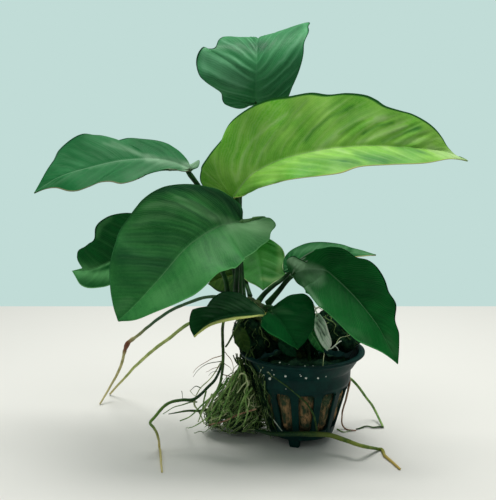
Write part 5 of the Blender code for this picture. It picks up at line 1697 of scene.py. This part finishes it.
def pot_look():
    """Moulded plastic with a film of algae and pale scuffs, both in patches."""
    look = Look("pot_plastic")
    film = look.noise(5.0, 6.0, 0.7)
    fine = look.noise(0.35, 3.0, 0.6)
    colour = look.mix(look.ramp(film, 0.35, 0.7), rgb(2, 36, 34), rgb(8, 52, 46))
    colour = look.mix(look.ramp(look.noise(1.1, 4.0, 0.7), 0.62, 0.78, 0.0, 0.3), colour, rgb(28, 62, 50))
    roughness = look.ramp(film, 0.3, 0.7, 0.36, 0.55)
    return look.finish(colour, roughness, 0.09, look.bump(fine, 0.25, 0.08))


def wool_look():
    """Matted fibres, brown with painted light where the light falls, olive and nearly black in between as
    painted shade, pale fibres with painted highlight, and darker in patches towards the foot.
    """
    look = Look("mineral_wool_fibres")
    fibres = look.noise(1.1, 8.0, 0.75, (1.0, 1.0, 0.22))
    clumps = look.noise(4.0, 4.0, 0.6, (1.0, 1.0, 0.45))
    # Brown clumps with painted light on them, olive between them.
    colour = look.mix(look.ramp(clumps, 0.42, 0.62), rgb(48, 66, 46), rgb(152, 120, 84))
    # Painted shade, nearly black, in the gaps between fibres.
    colour = look.mix(look.ramp(fibres, 0.48, 0.36), colour, rgb(28, 40, 28))
    # Pale fibres: their own colour with painted highlight.
    colour = look.mix(look.ramp(fibres, 0.56, 0.76, 0.0, 0.7), colour, rgb(206, 176, 128))
    height = look.add("SeparateXYZ", {0: look.place}).outputs[2]
    # Darker in patches towards the foot.
    low = look.ramp(height, 0.02, 0.009)
    foot_darkening = look.times(low, look.ramp(look.noise(9.0, 3.0), 0.42, 0.56, 0.1, 0.75))
    colour = look.mix(foot_darkening, colour, rgb(20, 42, 34))
    return look.finish(colour, 0.9, 0.1, look.bump(fibres, 0.9, 0.5))


def grain_look():
    look = Look("white_grain")
    fine = look.noise(0.3, 3.0)
    colour = look.mix(fine, rgb(190, 200, 188), rgb(240, 244, 236))
    return look.finish(colour, 0.7, normal=look.bump(fine, 0.4, 0.1))


ROOT_STAIN = (112, 62, 40)
# Stalks, roots and moss: the look's name, two colours, the patches' size and the roughness. After them, where
# they aren't strand_look's own, the ends' colours, the specular share and where the ends fade out and in.
STRANDS = {
    "stalk": ("stalk_green", (10, 42, 18), (34, 78, 34), 6.0, 0.45, (), 0.12),
    "rhizome": ("rhizome_skin", (22, 36, 20), (58, 76, 38), 3.0, 0.6, (), 0.08),
    "tan_root": ("root_tan", (134, 154, 78), (184, 194, 122), 4.0, 0.55, ((86, 122, 56), (190, 180, 128))),
    "knee_root": (
        "root_knee", (150, 146, 90), (192, 184, 132), 4.0, 0.55, ((46, 84, 54), (190, 180, 128)),
        0.2, (0.42, 0.66),
    ),
    "floor_root": (
        "root_floor", (64, 100, 36), (128, 140, 58), 7.0, 0.5, ((14, 50, 24), (186, 160, 80)),
        0.2, (0.2, 0.6), (0.7, 0.92),
    ),
    "arc_root": (
        "root_arc", (60, 104, 40), (104, 136, 58), 5.0, 0.5, ((20, 58, 28), (206, 192, 128)),
        0.2, (0.2, 0.5), (0.48, 0.68),
    ),
    "dark_root": ("root_dark", (34, 56, 28), (70, 96, 50), 3.0, 0.6, (), 0.08),
    "green_root": ("root_green", (76, 118, 52), (142, 172, 98), 4.0, 0.55),
    "pale_root": ("root_pale", (140, 158, 104), (198, 204, 160), 3.0, 0.55),
    "brown_root": ("root_brown", (120, 86, 66), (170, 140, 112), 3.0, 0.6),
    "white_root": ("root_white", (176, 192, 168), (226, 234, 218), 3.0, 0.5),
    "tangle_root": ("root_tangle", (74, 102, 58), (138, 164, 104), 3.0, 0.6, (), 0.1),
    # Roots in the pot's mouth: near black, their own dark colour and painted shade inside the mouth.
    "crown_root": ("root_crown", (6, 26, 18), (22, 50, 30), 3.0, 0.6, (), 0.03),
    "moss": ("moss_core", (12, 38, 29), (38, 68, 46), 1.6, 0.85, (), 0.03),
}


def make_looks():
    looks = {name: leaf_look(name, tint) for name, tint in TINTS.items()}
    looks |= {name: strand_look(*strand) for name, strand in STRANDS.items()}
    looks |= {"pot": pot_look(), "mineral_wool": wool_look(), "grains": grain_look()}
    return looks


FLOOR_BACK = 235.0
FLOOR_SIDE = 900.0
FLOOR_COLOUR = (220, 218, 213)
SURROUND_SEEN, SURROUND_LIGHT, SURROUND_STRENGTH = (193, 220, 215), (214, 228, 224), 0.36
SOFT_BOXES = (
    # name, place, where it points, width, depth, watts, colour
    ("lamp_over", (20, 80, 560), (10, 30, 60), 480, 320, 3.7, (1.0, 1.0, 0.98)),
    ("lamp_left", (-420, -260, 330), (0, 0, 80), 300, 300, 0.25, (0.96, 1.0, 1.0)),
)


def add_floor():
    mesh = bpy.data.meshes.new("floor")
    sides = (-FLOOR_SIDE, FLOOR_SIDE, FLOOR_SIDE, -FLOOR_SIDE)
    depths = (-FLOOR_SIDE, -FLOOR_SIDE, FLOOR_BACK, FLOOR_BACK)
    corners = (np.column_stack([sides, depths, np.zeros(4)]) + POT_AXIS) * MM
    mesh.from_pydata(corners.tolist(), [], [(0, 1, 2, 3)])
    mesh.materials.append(Look("floor_pale").finish(rgb(*FLOOR_COLOUR), 0.85, 0.2))
    floor = put_in_scene("floor", mesh)


def add_soft_boxes():
    for name, place, target, width, depth, watts, colour in SOFT_BOXES:
        lamp = bpy.data.lights.new(name, "AREA")
        lamp.shape = "RECTANGLE"
        lamp.size, lamp.size_y = width * MM, depth * MM
        lamp.energy = watts
        lamp.color = colour
        holder = put_in_scene(name, lamp)
        holder.location = (np.array(place, float) + POT_AXIS) * MM
        towards = Vector(target) - Vector(place)
        holder.rotation_euler = towards.to_track_quat("-Z", "Y").to_euler()


def add_surround():
    """Even pale light from all round, which the camera sees in a colour of its own."""
    world = bpy.data.worlds.new("surround")
    world.use_nodes = True
    nodes, links = world.node_tree.nodes, world.node_tree.links
    nodes.clear()
    seen_part, lit_part = nodes.new("ShaderNodeBackground"), nodes.new("ShaderNodeBackground")
    seen_part.inputs[0].default_value = rgb(*SURROUND_SEEN)
    lit_part.inputs[0].default_value = rgb(*SURROUND_LIGHT)
    lit_part.inputs[1].default_value = SURROUND_STRENGTH
    rays, mix, out = (nodes.new("ShaderNode" + kind) for kind in ("LightPath", "MixShader", "OutputWorld"))
    links.new(rays.outputs["Is Camera Ray"], mix.inputs[0])
    links.new(lit_part.outputs[0], mix.inputs[1])
    links.new(seen_part.outputs[0], mix.inputs[2])
    links.new(mix.outputs[0], out.inputs[0])
    bpy.context.scene.world = world
    bpy.context.scene.view_settings.view_transform = "Standard"


def add_camera():
    lens = bpy.data.cameras.new("camera")
    lens.sensor_width = SENSOR_MM
    lens.lens = VIEW_FOCAL / IMAGE_SIDE * SENSOR_MM
    lens.clip_start = 0.01
    camera = put_in_scene("camera", lens)
    camera.location = (VIEWPOINT + POT_AXIS) * MM
    camera.rotation_euler = (math.pi / 2 - VIEW_PITCH, 0, 0)
    bpy.context.scene.camera = camera


def main():
    add_floor()
    add_soft_boxes()
    add_surround()
    add_camera()
    looks = make_looks()
    add_pot(looks)
    add_grains(looks)
    add_wool(looks)
    add_rhizome(looks)
    for leaf in LEAVES:
        frames = add_blade(leaf, looks)
        add_stalk(leaf, frames, looks)
    for number, root in enumerate(ROOTS):
        add_root(root, number, looks)
    add_fine_roots(looks)
    add_root_mass(looks)
    add_crown(looks)


main()
